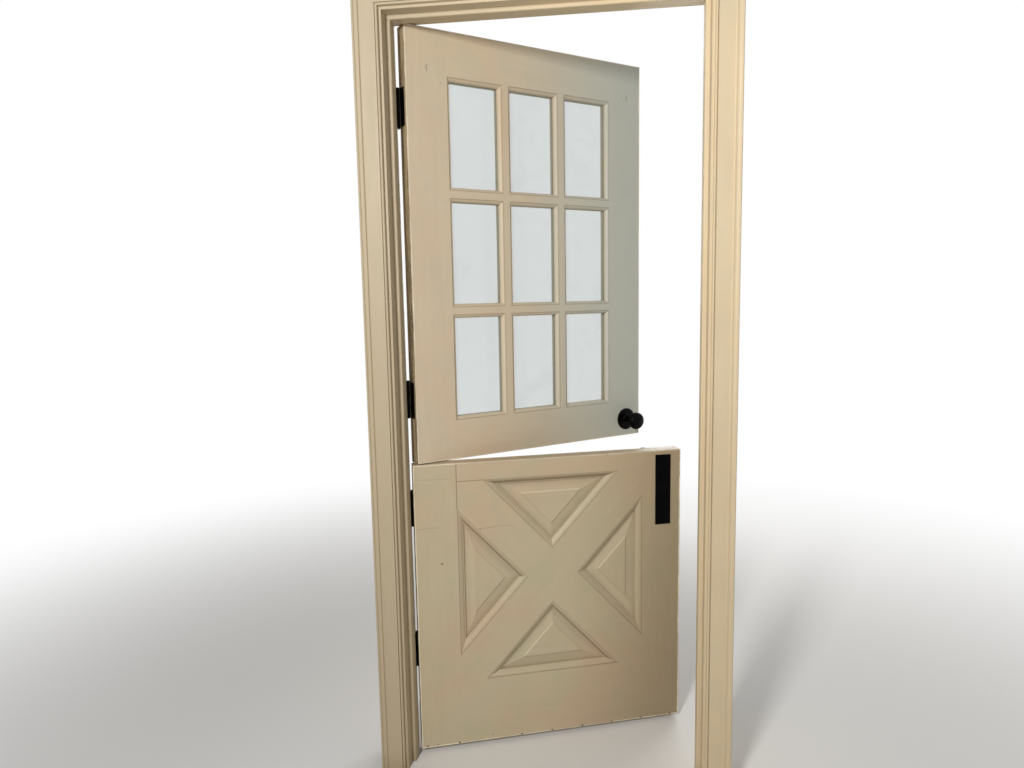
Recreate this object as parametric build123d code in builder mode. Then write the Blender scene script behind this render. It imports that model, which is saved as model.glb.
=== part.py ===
from build123d import *
import os
from math import atan2, cos, sin, sqrt

os.makedirs("parts", exist_ok=True)

# A painted dutch door in its frame, seen from the hall: +X runs along the wall
# from hinges to latch, +Y goes through the doorway into the room, +Z is up.
# The origin is the middle of the hinge jamb's foot. All sizes are millimetres.

# Leaves and the gaps around them
leaf_width = 804
leaf_thickness = 44
lower_leaf_height = 849
upper_leaf_height = 1180
meeting_gap = 3
floor_gap = 14
head_gap = 4
hinge_gap = 3
strike_gap = 4
upper_rest_angle = 38.4
lower_rest_angle = 19.1

# Frame boards
jamb_thickness = 19
jamb_depth = 117
jamb_horn = 12
head_housing_depth = 7
head_tongue_drop = 6
stop_thickness = 11
stop_width = 34
stop_clearance = 1
stop_edge_radius = 4

# Casing boards round the frame, on both sides of the wall
casing_reveal = 7
casing_bead_width = 6
casing_quirk_width = 2
casing_field_width = 38
casing_rise_width = 4
casing_band_width = 10
casing_outer_bead_width = 6
casing_edge_height = 9
casing_quirk_depth = 2.5
casing_field_lift = 1.5
casing_rise_height = 4.5
casing_rise_sag = 1.1
casing_band_hollow = 1.2
casing_relief_depth = 1.5
casing_wall_strip = 12

# Upper leaf, a sash of nine lights
stile_face = 122
upper_top_rail_face = 119
upper_bottom_rail_face = 113
muntin_face = 20
light_columns = 3
light_rows = 3
sash_quirk = 2
sash_ovolo_radius = 10
glass_lip = 4
glass_thickness = 4
glass_rebate = 9
glass_clearance = 1
bead_strip_depth = 14
bead_strip_radius = 5

# Lower leaf, a crossed brace with four raised panels
lower_top_rail_face = 53
lower_bottom_rail_face = 193
brace_face = 111
panel_quirk = 2
panel_mould_width = 16
panel_mould_depth = 9
panel_mould_bulge = 1.6
panel_lip = 2
panel_groove_width = 9
panel_groove_depth = 10
panel_clearance = 1
panel_bevel_width = 30
panel_bevel_height = 7
panel_field_step = 1.6

# Stub tenons of the rails
tenon_length = 34
tenon_thickness = 14
tenon_shoulder = 14

# Butt hinges
hinge_height = 102
hinge_plate_width = 32
hinge_plate_thickness = 2.5
hinge_barrel_radius = 6.25
hinge_pin_radius = 3.5
hinge_pin_clearance = 0.05
hinge_barrel_clearance = 0.25
hinge_knuckles = 5
knuckle_gap = 0.3
pin_head_radius = 5.5
pin_head_height = 4
pin_crown_radius = 3.3
pin_tip_radius = 2.1
pin_tip_height = 3
upper_top_hinge_drop = 206
upper_low_hinge_rise = 178
lower_top_hinge_drop = 137
lower_low_hinge_rise = 286
screws_per_plate = 3
hinge_screw_inset = 14
hinge_screw_stagger = 6.4

# Countersunk wood screws
screw_radius = 2.2
screw_head_radius = 4
screw_head_height = 2
screw_length = 14

# Latch and knobs on the upper leaf
latch_backset = 55
latch_rise = 54
latch_case_radius = 11.5
latch_case_tail = 23
latch_bore_clearance = 0.1
spindle_bore_radius = 8.5
spindle_hub_radius = 6.1
spindle_width = 8
spindle_reach = 26
faceplate_width = 25
faceplate_height = 57
faceplate_thickness = 2.5
faceplate_screw_inset = 6
bolt_width = 12
bolt_height = 15
bolt_throw = 11
bolt_tail = 28
bolt_nose_start = 1
bolt_tip_width = 3
bolt_clearance = 0.3
rosette_radius = 35
rosette_rim = 2.5
rosette_dome_rise = 3.5
rosette_dome_bulge = 0.9
rosette_collar_radius = 15
rosette_collar_height = 2
knob_neck_radius = 9
knob_neck_clearance = 0.4
knob_neck_start = 3
knob_neck_length = 33
knob_flare_length = 9
knob_flare_sag = 2.4
knob_waist_radius = 17
knob_radius = 28
knob_belly_rise = 11.5
knob_shoulder_length = 11.5
knob_end_radius = 16
knob_crown_rise = 3

# Strike plate in the strike jamb
strike_plate_width = 36
strike_plate_height = 57
strike_plate_thickness = 2
strike_lip_length = 5
strike_lip_curl = 3
strike_lip_sag = 1
strike_lip_height = 26
strike_clearance = 1.2
strike_pocket_depth = 14

# Black cover plate on the lower leaf's hall side
cover_plate_width = 48
cover_plate_height = 215
cover_plate_thickness = 3
cover_plate_drop = 13
cover_plate_edge_distance = 32
cover_plate_bevel = 1

# Surface bolt on the room side that joins the two leaves
rod_radius = 4.5
rod_length = 118
rod_travel = 22
rod_drop = 3
rod_clearance = 0.35
rod_edge_distance = 98
rod_plate_gap = 1.5
rod_tip_chamfer = 1.3
rod_grip_radius = 5
rod_grip_neck_radius = 3
rod_grip_length = 16
slide_plate_width = 28
slide_plate_height = 122
slide_plate_thickness = 2.5
slide_screw_spread = 34
slide_screw_margin = 0.5
guide_ring_wall = 3.65
guide_height = 12
guide_foot = 3
keeper_height = 15
keeper_rise = 3
keeper_screw_spread = 34
keeper_margin = 1

# Places that follow from the sizes above
jamb_face = jamb_thickness / 2
leaf_left = jamb_face + hinge_gap
leaf_right = leaf_left + leaf_width
strike_face = leaf_right + strike_gap
strike_back = strike_face + jamb_thickness
hall_edge = -jamb_depth / 2
room_edge = jamb_depth / 2
leaf_hall = room_edge - leaf_thickness
lower_bottom = floor_gap
lower_top = lower_bottom + lower_leaf_height
upper_bottom = lower_top + meeting_gap
upper_top = upper_bottom + upper_leaf_height
head_face = upper_top + head_gap
head_top = head_face + jamb_thickness
stop_back = leaf_hall - stop_clearance
stop_front = stop_back - stop_width
hinge_x = jamb_face + hinge_gap / 2
hinge_y = room_edge + hinge_barrel_radius + hinge_barrel_clearance
hinge_axis = Axis((hinge_x, hinge_y, 0), (0, 0, 1))


def keep(part, name, turned=0):
    """Label a finished piece, turn it about the hinge line and write it."""
    placed = part.rotate(hinge_axis, turned)
    placed.label = name
    export_step(placed, f"parts/{name}.step")


def block(x_span, y_span, z_span):
    """A square-edged block between three pairs of limits."""
    sizes = [high - low for low, high in (x_span, y_span, z_span)]
    middle = [(high + low) / 2 for low, high in (x_span, y_span, z_span)]
    with BuildPart() as solid:
        with Locations(tuple(middle)):
            Box(*sizes)
    return solid.part


# Hinges: each stands at one height, with a plate let into the jamb and one
# let into the leaf's edge, and knuckles shared between them on one pin.
hinge_middles = [
    upper_top - upper_top_hinge_drop,
    upper_bottom + upper_low_hinge_rise,
    lower_top - lower_top_hinge_drop,
    lower_bottom + lower_low_hinge_rise,
]
plate_inner = room_edge - hinge_plate_width
plate_middle = room_edge - hinge_plate_width / 2
screw_pitch = (hinge_height - 2 * hinge_screw_inset) / (screws_per_plate - 1)


def hinge_screw_spots(middle):
    """Height and depth of each screw in one hinge plate, set zigzag."""
    spots = []
    for index in range(screws_per_plate):
        side = -1 if index % 2 else 1
        height = middle - hinge_height / 2 + hinge_screw_inset + index * screw_pitch
        spots.append((plate_middle - side * hinge_screw_stagger, height))
    return spots


def screw_solid(head_face_point, direction):
    """One countersunk screw, its head's face at the point, going into the wood."""
    upward = Vector(0, 0, 1)
    turning_plane = Plane(head_face_point, x_dir=upward, z_dir=upward.cross(Vector(direction)))
    with BuildPart() as screw:
        with BuildSketch(turning_plane):
            with BuildLine():
                Polyline(
                    (0, 0),
                    (screw_head_radius, 0),
                    (screw_radius, screw_head_height),
                    (screw_radius, screw_length),
                    (0, screw_length),
                    close=True,
                )
            make_face()
        revolve(axis=Axis(head_face_point, direction))
    return screw.part


def hinge_plate(middle, plate_left, screw_side, knuckle_start):
    """One half of a butt hinge, with every second knuckle from knuckle_start."""
    bottom = middle - hinge_height / 2
    pitch = hinge_height / hinge_knuckles
    web_end = hinge_y - (hinge_barrel_radius + hinge_pin_radius) / 2
    plate_right = plate_left + hinge_plate_thickness
    with BuildPart() as plate:
        add(block((plate_left, plate_right), (plate_inner, room_edge), (bottom, bottom + hinge_height)))
        for index in range(knuckle_start, hinge_knuckles, 2):
            low = bottom + index * pitch + knuckle_gap / 2
            high = low + pitch - knuckle_gap
            add(block((plate_left, plate_right), (room_edge, web_end), (low, high)))
            with BuildSketch(Plane.XY.offset(low)):
                with Locations((hinge_x, hinge_y)):
                    Circle(hinge_barrel_radius)
            extrude(amount=high - low)
        with Locations((hinge_x, hinge_y, middle)):
            Cylinder(hinge_pin_radius + hinge_pin_clearance, hinge_height, mode=Mode.SUBTRACT)
        if screw_side > 0:
            face_x = plate_right
        else:
            face_x = plate_left
        for depth, height in hinge_screw_spots(middle):
            add(screw_solid((face_x, depth, height), (-screw_side, 0, 0)), mode=Mode.SUBTRACT)
    return plate.part


jamb_plate_left = jamb_face - hinge_plate_thickness
leaf_screws = {"upper": [], "lower": []}
frame_screws = []
for number, middle in enumerate(hinge_middles, start=1):
    on_upper = number <= 2
    leaf = "upper" if on_upper else "lower"
    angle = upper_rest_angle if on_upper else lower_rest_angle
    keep(hinge_plate(middle, jamb_plate_left, 1, 0), f"jamb_hinge_plate_{number}")
    keep(hinge_plate(middle, leaf_left, -1, 1), f"leaf_hinge_plate_{number}", angle)
    for depth, height in hinge_screw_spots(middle):
        frame_screws.append(screw_solid((jamb_face, depth, height), (-1, 0, 0)))
        leaf_screws[leaf].append(screw_solid((leaf_left, depth, height), (1, 0, 0)))

# Hinge pins, each with a domed head on the top knuckle and a tip below
with BuildPart() as hinge_pins:
    for middle in hinge_middles:
        pin_top = middle + hinge_height / 2
        pin_foot = middle - hinge_height / 2
        with BuildSketch(Plane((hinge_x, hinge_y, 0), x_dir=(1, 0, 0), z_dir=(0, -1, 0))):
            with BuildLine():
                Polyline(
                    (0, pin_foot - pin_tip_height),
                    (pin_tip_radius, pin_foot - pin_tip_height),
                    (hinge_pin_radius, pin_foot - pin_tip_height / 2),
                    (hinge_pin_radius, pin_top),
                    (pin_head_radius, pin_top),
                    (pin_head_radius, pin_top + pin_head_height / 2),
                    (pin_crown_radius, pin_top + pin_head_height),
                    (0, pin_top + pin_head_height),
                    close=True,
                )
            make_face()
        revolve(axis=Axis((hinge_x, hinge_y, 0), (0, 0, 1)))
keep(hinge_pins.part, "hinge_pins")

# Side jambs, housed for the head's tongues and let in for the hinges or the strike.
# The tongues are lower than the head, so that its top face ends between the jambs.
latch_height = upper_bottom + latch_rise
bolt_middle = (leaf_hall + room_edge) / 2
head_tongues = block(
    (jamb_face - head_housing_depth, strike_face + head_housing_depth),
    (hall_edge, room_edge),
    (head_face, head_top - head_tongue_drop),
)
with BuildPart() as hinge_jamb:
    add(block((-jamb_face, jamb_face), (hall_edge, room_edge), (0, head_top + jamb_horn)))
    add(head_tongues, mode=Mode.SUBTRACT)
    for middle in hinge_middles:
        mortise_z = (middle - hinge_height / 2, middle + hinge_height / 2)
        add(block((jamb_plate_left, jamb_face), (plate_inner, room_edge), mortise_z), mode=Mode.SUBTRACT)
    for screw in frame_screws:
        add(screw, mode=Mode.SUBTRACT)
keep(hinge_jamb.part, "hinge_jamb")

# Strike plate, flush in the jamb, with a lip that curves out past its edge
strike_inner = room_edge - strike_plate_width
strike_z = (latch_height - strike_plate_height / 2, latch_height + strike_plate_height / 2)
strike_hole_y = bolt_width / 2 + strike_clearance
strike_hole_z = bolt_height / 2 + strike_clearance
strike_plate_right = strike_face + strike_plate_thickness
strike_hole = block(
    (strike_face, strike_face + strike_pocket_depth),
    (bolt_middle - strike_hole_y, bolt_middle + strike_hole_y),
    (latch_height - strike_hole_z, latch_height + strike_hole_z),
)
strike_screw_heights = [
    latch_height + side * (strike_plate_height / 2 - faceplate_screw_inset) for side in (-1, 1)
]
strike_screws = [
    screw_solid((strike_face, bolt_middle, height), (1, 0, 0)) for height in strike_screw_heights
]
with BuildPart() as strike_plate:
    add(block((strike_face, strike_plate_right), (strike_inner, room_edge), strike_z))
    with BuildSketch(Plane.XY.offset(latch_height - strike_lip_height / 2)):
        with BuildLine():
            lip_inner = ThreePointArc(
                (strike_face, room_edge),
                (
                    strike_face + strike_lip_curl / 2 - strike_lip_sag / 2,
                    room_edge + strike_lip_length / 2 + strike_lip_sag / 2,
                ),
                (strike_face + strike_lip_curl, room_edge + strike_lip_length),
            )
            Polyline(
                lip_inner @ 1,
                (
                    strike_plate_right + strike_lip_curl,
                    room_edge + strike_lip_length - strike_plate_thickness,
                ),
                (strike_plate_right, room_edge),
                lip_inner @ 0,
            )
        make_face()
    extrude(amount=strike_lip_height)
    add(strike_hole, mode=Mode.SUBTRACT)
    for screw in strike_screws:
        add(screw, mode=Mode.SUBTRACT)
keep(strike_plate.part, "strike_plate")

with BuildPart() as strike_jamb:
    add(block((strike_face, strike_back), (hall_edge, room_edge), (0, head_top + jamb_horn)))
    add(head_tongues, mode=Mode.SUBTRACT)
    add(block((strike_face, strike_plate_right), (strike_inner, room_edge), strike_z), mode=Mode.SUBTRACT)
    add(strike_hole, mode=Mode.SUBTRACT)
    for screw in strike_screws:
        add(screw, mode=Mode.SUBTRACT)
keep(strike_jamb.part, "strike_jamb")
with BuildPart() as head_jamb:
    add(head_tongues)
    add(block((jamb_face, strike_face), (hall_edge, room_edge), (head_face, head_top)))
keep(head_jamb.part, "head_jamb")

with BuildPart() as frame_screw_set:
    for screw in frame_screws + strike_screws:
        add(screw)
keep(frame_screw_set.part, "frame_screws")

# Stops, planted on the jambs, with the edge towards the opening rounded
head_stop_low = head_face - stop_thickness
stop_spans = {
    "hinge_stop": ((jamb_face, jamb_face + stop_thickness), (0, head_stop_low)),
    "strike_stop": ((strike_face - stop_thickness, strike_face), (0, head_stop_low)),
    "head_stop": ((jamb_face, strike_face), (head_stop_low, head_face)),
}
for name, (x_span, z_span) in stop_spans.items():
    with BuildPart() as stop:
        add(block(x_span, (stop_front, stop_back), z_span))
        front_edges = stop.edges().group_by(Axis.Y)[0]
        if name == "head_stop":
            shown_edge = front_edges.filter_by(Axis.X).sort_by(Axis.Z)[0]
        elif name == "hinge_stop":
            shown_edge = front_edges.filter_by(Axis.Z).sort_by(Axis.X)[-1]
        else:
            shown_edge = front_edges.filter_by(Axis.Z).sort_by(Axis.X)[0]
        fillet(shown_edge, stop_edge_radius)
    keep(stop.part, name)

# Casings: one moulded board carried up each side and across the head, mitred.
# Its back is relieved between the strip on the jamb's edge and the one on the wall.
casing_width = (
    casing_bead_width
    + casing_quirk_width
    + casing_field_width
    + casing_rise_width
    + casing_band_width
    + casing_outer_bead_width
)
casing_quirk_height = casing_edge_height - casing_quirk_depth
casing_field_height = casing_edge_height + casing_field_lift
casing_band_height = casing_field_height + casing_rise_height
casing_inner_left = jamb_face - casing_reveal
casing_inner_right = strike_face + casing_reveal
casing_inner_top = head_face + casing_reveal


def casing_board(plane, length):
    """A casing board along the plane's normal: x from the inner edge, y from the wall."""
    quirk_start = casing_bead_width
    field_start = quirk_start + casing_quirk_width
    rise_start = field_start + casing_field_width
    band_start = rise_start + casing_rise_width
    outer_bead_start = band_start + casing_band_width
    rise_middle = (rise_start + casing_rise_width / 2, casing_field_height + casing_rise_height / 2)
    outer_bead_radius = casing_outer_bead_width / 2
    jamb_strip_end = jamb_thickness - casing_reveal
    wall_strip_start = casing_width - casing_wall_strip
    with BuildPart() as board:
        with BuildSketch(plane):
            with BuildLine():
                inner_bead = ThreePointArc(
                    (0, casing_edge_height),
                    (casing_bead_width / 2, casing_edge_height + casing_bead_width / 2),
                    (quirk_start, casing_edge_height),
                )
                Polyline(
                    inner_bead @ 1,
                    (quirk_start, casing_quirk_height),
                    (field_start, casing_quirk_height),
                    (field_start, casing_field_height),
                    (rise_start, casing_field_height),
                )
                rise = ThreePointArc(
                    (rise_start, casing_field_height),
                    (rise_middle[0] + casing_rise_sag, rise_middle[1] - casing_rise_sag),
                    (band_start, casing_band_height),
                )
                hollow = ThreePointArc(
                    rise @ 1,
                    (band_start + casing_band_width / 2, casing_band_height - casing_band_hollow),
                    (outer_bead_start, casing_band_height),
                )
                outer_bead = ThreePointArc(
                    hollow @ 1,
                    (outer_bead_start + outer_bead_radius, casing_band_height + outer_bead_radius),
                    (casing_width, casing_band_height),
                )
                Polyline(
                    outer_bead @ 1,
                    (casing_width, 0),
                    (wall_strip_start, 0),
                    (wall_strip_start, casing_relief_depth),
                    (jamb_strip_end, casing_relief_depth),
                    (jamb_strip_end, 0),
                    (0, 0),
                    inner_bead @ 0,
                )
            make_face()
        extrude(amount=length)
    return board.part


side_length = casing_inner_top + casing_width
head_length = casing_inner_right - casing_inner_left + 2 * casing_width
for side_name, wall_y, outward in (("hall", hall_edge, -1), ("room", room_edge, 1)):
    # The sawn mitres lie in two planes that lean out from the inner corners.
    left_corner = (casing_inner_left, wall_y, casing_inner_top)
    right_corner = (casing_inner_right, wall_y, casing_inner_top)
    left_mitre = Plane(left_corner, x_dir=(0, 1, 0), z_dir=(1, 0, 1))
    right_mitre = Plane(right_corner, x_dir=(0, 1, 0), z_dir=(-1, 0, 1))
    if outward < 0:
        left_plane = Plane((casing_inner_left, wall_y, 0), x_dir=(-1, 0, 0), z_dir=(0, 0, 1))
        right_plane = Plane((casing_inner_right, wall_y, side_length), x_dir=(1, 0, 0), z_dir=(0, 0, -1))
        head_plane = Plane(
            (casing_inner_left - casing_width, wall_y, casing_inner_top), x_dir=(0, 0, 1), z_dir=(1, 0, 0)
        )
    else:
        left_plane = Plane((casing_inner_left, wall_y, side_length), x_dir=(-1, 0, 0), z_dir=(0, 0, -1))
        right_plane = Plane((casing_inner_right, wall_y, 0), x_dir=(1, 0, 0), z_dir=(0, 0, 1))
        head_plane = Plane(
            (casing_inner_right + casing_width, wall_y, casing_inner_top), x_dir=(0, 0, 1), z_dir=(-1, 0, 0)
        )
    left_board = casing_board(left_plane, side_length)
    right_board = casing_board(right_plane, side_length)
    head_board = casing_board(head_plane, head_length)
    with BuildPart() as left_casing:
        add(left_board)
        split(bisect_by=left_mitre, keep=Keep.BOTTOM)
    with BuildPart() as right_casing:
        add(right_board)
        split(bisect_by=right_mitre, keep=Keep.BOTTOM)
    with BuildPart() as head_casing:
        add(head_board)
        split(bisect_by=left_mitre, keep=Keep.TOP)
        split(bisect_by=right_mitre, keep=Keep.TOP)
    keep(left_casing.part, f"{side_name}_casing_hinge_side")
    keep(right_casing.part, f"{side_name}_casing_strike_side")
    keep(head_casing.part, f"{side_name}_casing_head")


glass_setback = sash_quirk + sash_ovolo_radius + glass_lip


def sash_bar(plane, length, face, centred=False):
    """A sash bar: x across from its outer edge or its middle, y through the leaf."""
    sight = face + sash_ovolo_radius
    bend = sash_ovolo_radius / sqrt(2)
    with BuildPart() as bar:
        with BuildSketch(plane):
            with BuildLine():
                ovolo = ThreePointArc(
                    (face, sash_quirk),
                    (face + bend, sash_quirk + sash_ovolo_radius - bend),
                    (sight, sash_quirk + sash_ovolo_radius),
                )
                Polyline(
                    ovolo @ 1,
                    (sight, glass_setback),
                    (sight - glass_rebate, glass_setback),
                    (sight - glass_rebate, leaf_thickness),
                    (0, leaf_thickness),
                    (0, 0),
                    (face, 0),
                    ovolo @ 0,
                )
            make_face()
            if centred:
                mirror(about=Plane.YZ)
        extrude(amount=length)
    return bar.part


def panel_bar(plane, length, face, centred=False):
    """A bar moulded on both faces and grooved for a panel: x across, y through the leaf."""
    mould_end = face + panel_mould_width
    sight = mould_end + panel_lip
    mould_low = panel_quirk + panel_mould_depth
    slope = atan2(panel_mould_depth, panel_mould_width)
    bulge_x = face + panel_mould_width / 2 + panel_mould_bulge * sin(slope)
    bulge_y = panel_quirk + panel_mould_depth / 2 - panel_mould_bulge * cos(slope)
    groove_low = (leaf_thickness - panel_groove_width) / 2
    groove_high = leaf_thickness - groove_low
    groove_end = sight - panel_groove_depth
    with BuildPart() as bar:
        with BuildSketch(plane):
            with BuildLine():
                hall_mould = ThreePointArc((face, panel_quirk), (bulge_x, bulge_y), (mould_end, mould_low))
                Polyline(
                    hall_mould @ 1,
                    (sight, mould_low),
                    (sight, groove_low),
                    (groove_end, groove_low),
                    (groove_end, groove_high),
                    (sight, groove_high),
                    (sight, leaf_thickness - mould_low),
                    (mould_end, leaf_thickness - mould_low),
                )
                room_mould = ThreePointArc(
                    (face, leaf_thickness - panel_quirk),
                    (bulge_x, leaf_thickness - bulge_y),
                    (mould_end, leaf_thickness - mould_low),
                )
                Polyline(
                    room_mould @ 0,
                    (face, leaf_thickness),
                    (0, leaf_thickness),
                    (0, 0),
                    (face, 0),
                    hall_mould @ 0,
                )
            make_face()
            if centred:
                mirror(about=Plane.YZ)
        extrude(amount=length)
    return bar.part


def tenon_block(x_span, low, high):
    """The block shared by a rail's tenon and the mortise it sits in."""
    tenon_hall = leaf_hall + (leaf_thickness - tenon_thickness) / 2
    return block(x_span, (tenon_hall, tenon_hall + tenon_thickness), (low, high))


# Stiles and rails of both leaves run to these lines
left_line = leaf_left + stile_face
right_line = leaf_right - stile_face
left_tenon_x = (left_line - tenon_length, left_line + glass_rebate)
right_tenon_x = (right_line - glass_rebate, right_line + tenon_length)
rail_length = right_line - left_line

hinge_mortises = {"upper": [], "lower": []}
for number, middle in enumerate(hinge_middles, start=1):
    leaf = "upper" if number <= 2 else "lower"
    hinge_mortises[leaf].append(
        block(
            (leaf_left, leaf_left + hinge_plate_thickness),
            (plate_inner, room_edge),
            (middle - hinge_height / 2, middle + hinge_height / 2),
        )
    )

# Upper leaf: stiles run through, rails and muntins are coped over their moulding
upper_top_line = upper_top - upper_top_rail_face
upper_bottom_line = upper_bottom + upper_bottom_rail_face
left_sash = sash_bar(
    Plane((leaf_left, leaf_hall, upper_bottom), x_dir=(1, 0, 0), z_dir=(0, 0, 1)),
    upper_leaf_height,
    stile_face,
)
right_sash = sash_bar(
    Plane((leaf_right, leaf_hall, upper_top), x_dir=(-1, 0, 0), z_dir=(0, 0, -1)),
    upper_leaf_height,
    stile_face,
)
top_sash = sash_bar(
    Plane((left_line, leaf_hall, upper_top), x_dir=(0, 0, -1), z_dir=(1, 0, 0)),
    rail_length,
    upper_top_rail_face,
)
bottom_sash = sash_bar(
    Plane((right_line, leaf_hall, upper_bottom), x_dir=(0, 0, 1), z_dir=(-1, 0, 0)),
    rail_length,
    upper_bottom_rail_face,
)
upper_top_tenon_z = (upper_top_line, upper_top - tenon_shoulder)
upper_bottom_tenon_z = (upper_bottom + tenon_shoulder, upper_bottom_line)
upper_left_tenons = [
    tenon_block(left_tenon_x, *upper_top_tenon_z),
    tenon_block(left_tenon_x, *upper_bottom_tenon_z),
]
upper_right_tenons = [
    tenon_block(right_tenon_x, *upper_top_tenon_z),
    tenon_block(right_tenon_x, *upper_bottom_tenon_z),
]
with BuildPart() as upper_top_rail:
    add(top_sash)
    add([left_sash, right_sash], mode=Mode.SUBTRACT)
    add([upper_left_tenons[0], upper_right_tenons[0]])
with BuildPart() as upper_bottom_rail:
    add(bottom_sash)
    add([left_sash, right_sash], mode=Mode.SUBTRACT)
    add([upper_left_tenons[1], upper_right_tenons[1]])
keep(upper_top_rail.part, "upper_top_rail", upper_rest_angle)
keep(upper_bottom_rail.part, "upper_bottom_rail", upper_rest_angle)

with BuildPart() as upper_hinge_stile:
    add(left_sash)
    add(upper_left_tenons + hinge_mortises["upper"] + leaf_screws["upper"], mode=Mode.SUBTRACT)
keep(upper_hinge_stile.part, "upper_hinge_stile", upper_rest_angle)

# The sight size of the lights follows from the rails, the stiles and the muntins
muntin_sight = muntin_face + 2 * sash_ovolo_radius
sight_left = left_line + sash_ovolo_radius
sight_right = right_line - sash_ovolo_radius
sight_bottom = upper_bottom_line + sash_ovolo_radius
sight_top = upper_top_line - sash_ovolo_radius
light_width = (sight_right - sight_left - (light_columns - 1) * muntin_sight) / light_columns
light_height = (sight_top - sight_bottom - (light_rows - 1) * muntin_sight) / light_rows
column_pitch = light_width + muntin_sight
row_pitch = light_height + muntin_sight
upright_middles = [sight_left - muntin_sight / 2 + column_pitch * n for n in range(1, light_columns)]
cross_middles = [sight_bottom - muntin_sight / 2 + row_pitch * n for n in range(1, light_rows)]
upright_length = upper_top_line - upper_bottom_line
upright_bars = [
    sash_bar(
        Plane((x, leaf_hall, upper_bottom_line), x_dir=(1, 0, 0), z_dir=(0, 0, 1)),
        upright_length,
        muntin_face / 2,
        centred=True,
    )
    for x in upright_middles
]
cross_bars = [
    sash_bar(
        Plane((left_line, leaf_hall, z), x_dir=(0, 0, -1), z_dir=(1, 0, 0)),
        rail_length,
        muntin_face / 2,
        centred=True,
    )
    for z in cross_middles
]
# Where muntins cross they are halved: the upright keeps its hall side there
hall_half = block(
    (leaf_left, leaf_right), (leaf_hall, leaf_hall + glass_setback), (upper_bottom, upper_top)
)
room_half = block(
    (leaf_left, leaf_right), (leaf_hall + glass_setback, room_edge), (upper_bottom, upper_top)
)
upright_hall_sides = [bar & hall_half for bar in upright_bars]
cross_room_sides = [bar & room_half for bar in cross_bars]
for bar, side in zip(upright_bars, ("hinge_side", "strike_side")):
    with BuildPart() as upright:
        add(bar)
        add([top_sash, bottom_sash], mode=Mode.SUBTRACT)
        add(cross_room_sides, mode=Mode.SUBTRACT)
    keep(upright.part, f"upright_muntin_{side}", upper_rest_angle)
for bar, side in zip(cross_bars, ("lower", "upper")):
    with BuildPart() as cross:
        add(bar)
        add([left_sash, right_sash], mode=Mode.SUBTRACT)
        add(upright_hall_sides, mode=Mode.SUBTRACT)
    keep(cross.part, f"cross_muntin_{side}", upper_rest_angle)

# Panes lie against the rebates, and wooden beads hold them from the room side
pane_overlap = glass_rebate - glass_clearance
bead_start = leaf_hall + glass_setback + glass_thickness
light_middles_x = [sight_left + light_width / 2 + column_pitch * n for n in range(light_columns)]
light_middles_z = [sight_bottom + light_height / 2 + row_pitch * n for n in range(light_rows)]
for middle_z, row_name in zip(light_middles_z, ("bottom", "middle", "top")):
    with BuildPart() as glass_row:
        for middle_x in light_middles_x:
            half_width = light_width / 2 + pane_overlap
            half_height = light_height / 2 + pane_overlap
            add(
                block(
                    (middle_x - half_width, middle_x + half_width),
                    (bead_start - glass_thickness, bead_start),
                    (middle_z - half_height, middle_z + half_height),
                )
            )
    keep(glass_row.part, f"glass_{row_name}_row", upper_rest_angle)


def bead_strip(length, across):
    """A glazing bead with sawn mitres, its outer edge down and centred on the origin."""
    with BuildPart() as strip:
        with BuildSketch(Plane.YZ.offset(-length / 2)):
            with BuildLine():
                corner = ThreePointArc(
                    (bead_strip_depth, across - bead_strip_radius),
                    (
                        bead_strip_depth - bead_strip_radius * (1 - 1 / sqrt(2)),
                        across - bead_strip_radius * (1 - 1 / sqrt(2)),
                    ),
                    (bead_strip_depth - bead_strip_radius, across),
                )
                Polyline(corner @ 1, (0, across), (0, 0), (bead_strip_depth, 0), corner @ 0)
            make_face()
        extrude(amount=length)
        split(bisect_by=Plane((-length / 2, 0, 0), x_dir=(0, 1, 0), z_dir=(1, 0, -1)), keep=Keep.TOP)
        split(bisect_by=Plane((length / 2, 0, 0), x_dir=(0, 1, 0), z_dir=(-1, 0, -1)), keep=Keep.TOP)
    return strip.part


bead_across = glass_rebate
flat_strip = bead_strip(light_width + 2 * bead_across, bead_across)
tall_strip = bead_strip(light_height + 2 * bead_across, bead_across)
placed_strips = []
for middle_x in light_middles_x:
    for middle_z in light_middles_z:
        centre = Location((middle_x, bead_start, middle_z))
        for turn, strip, reach in (
            (0, flat_strip, light_height),
            (90, tall_strip, light_width),
            (180, flat_strip, light_height),
            (270, tall_strip, light_width),
        ):
            seat = Location((0, 0, -reach / 2 - bead_across))
            placed_strips.append(strip.moved(centre * Location((0, 0, 0), (0, turn, 0)) * seat))
keep(Compound(children=placed_strips), "glazing_beads", upper_rest_angle)

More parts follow.
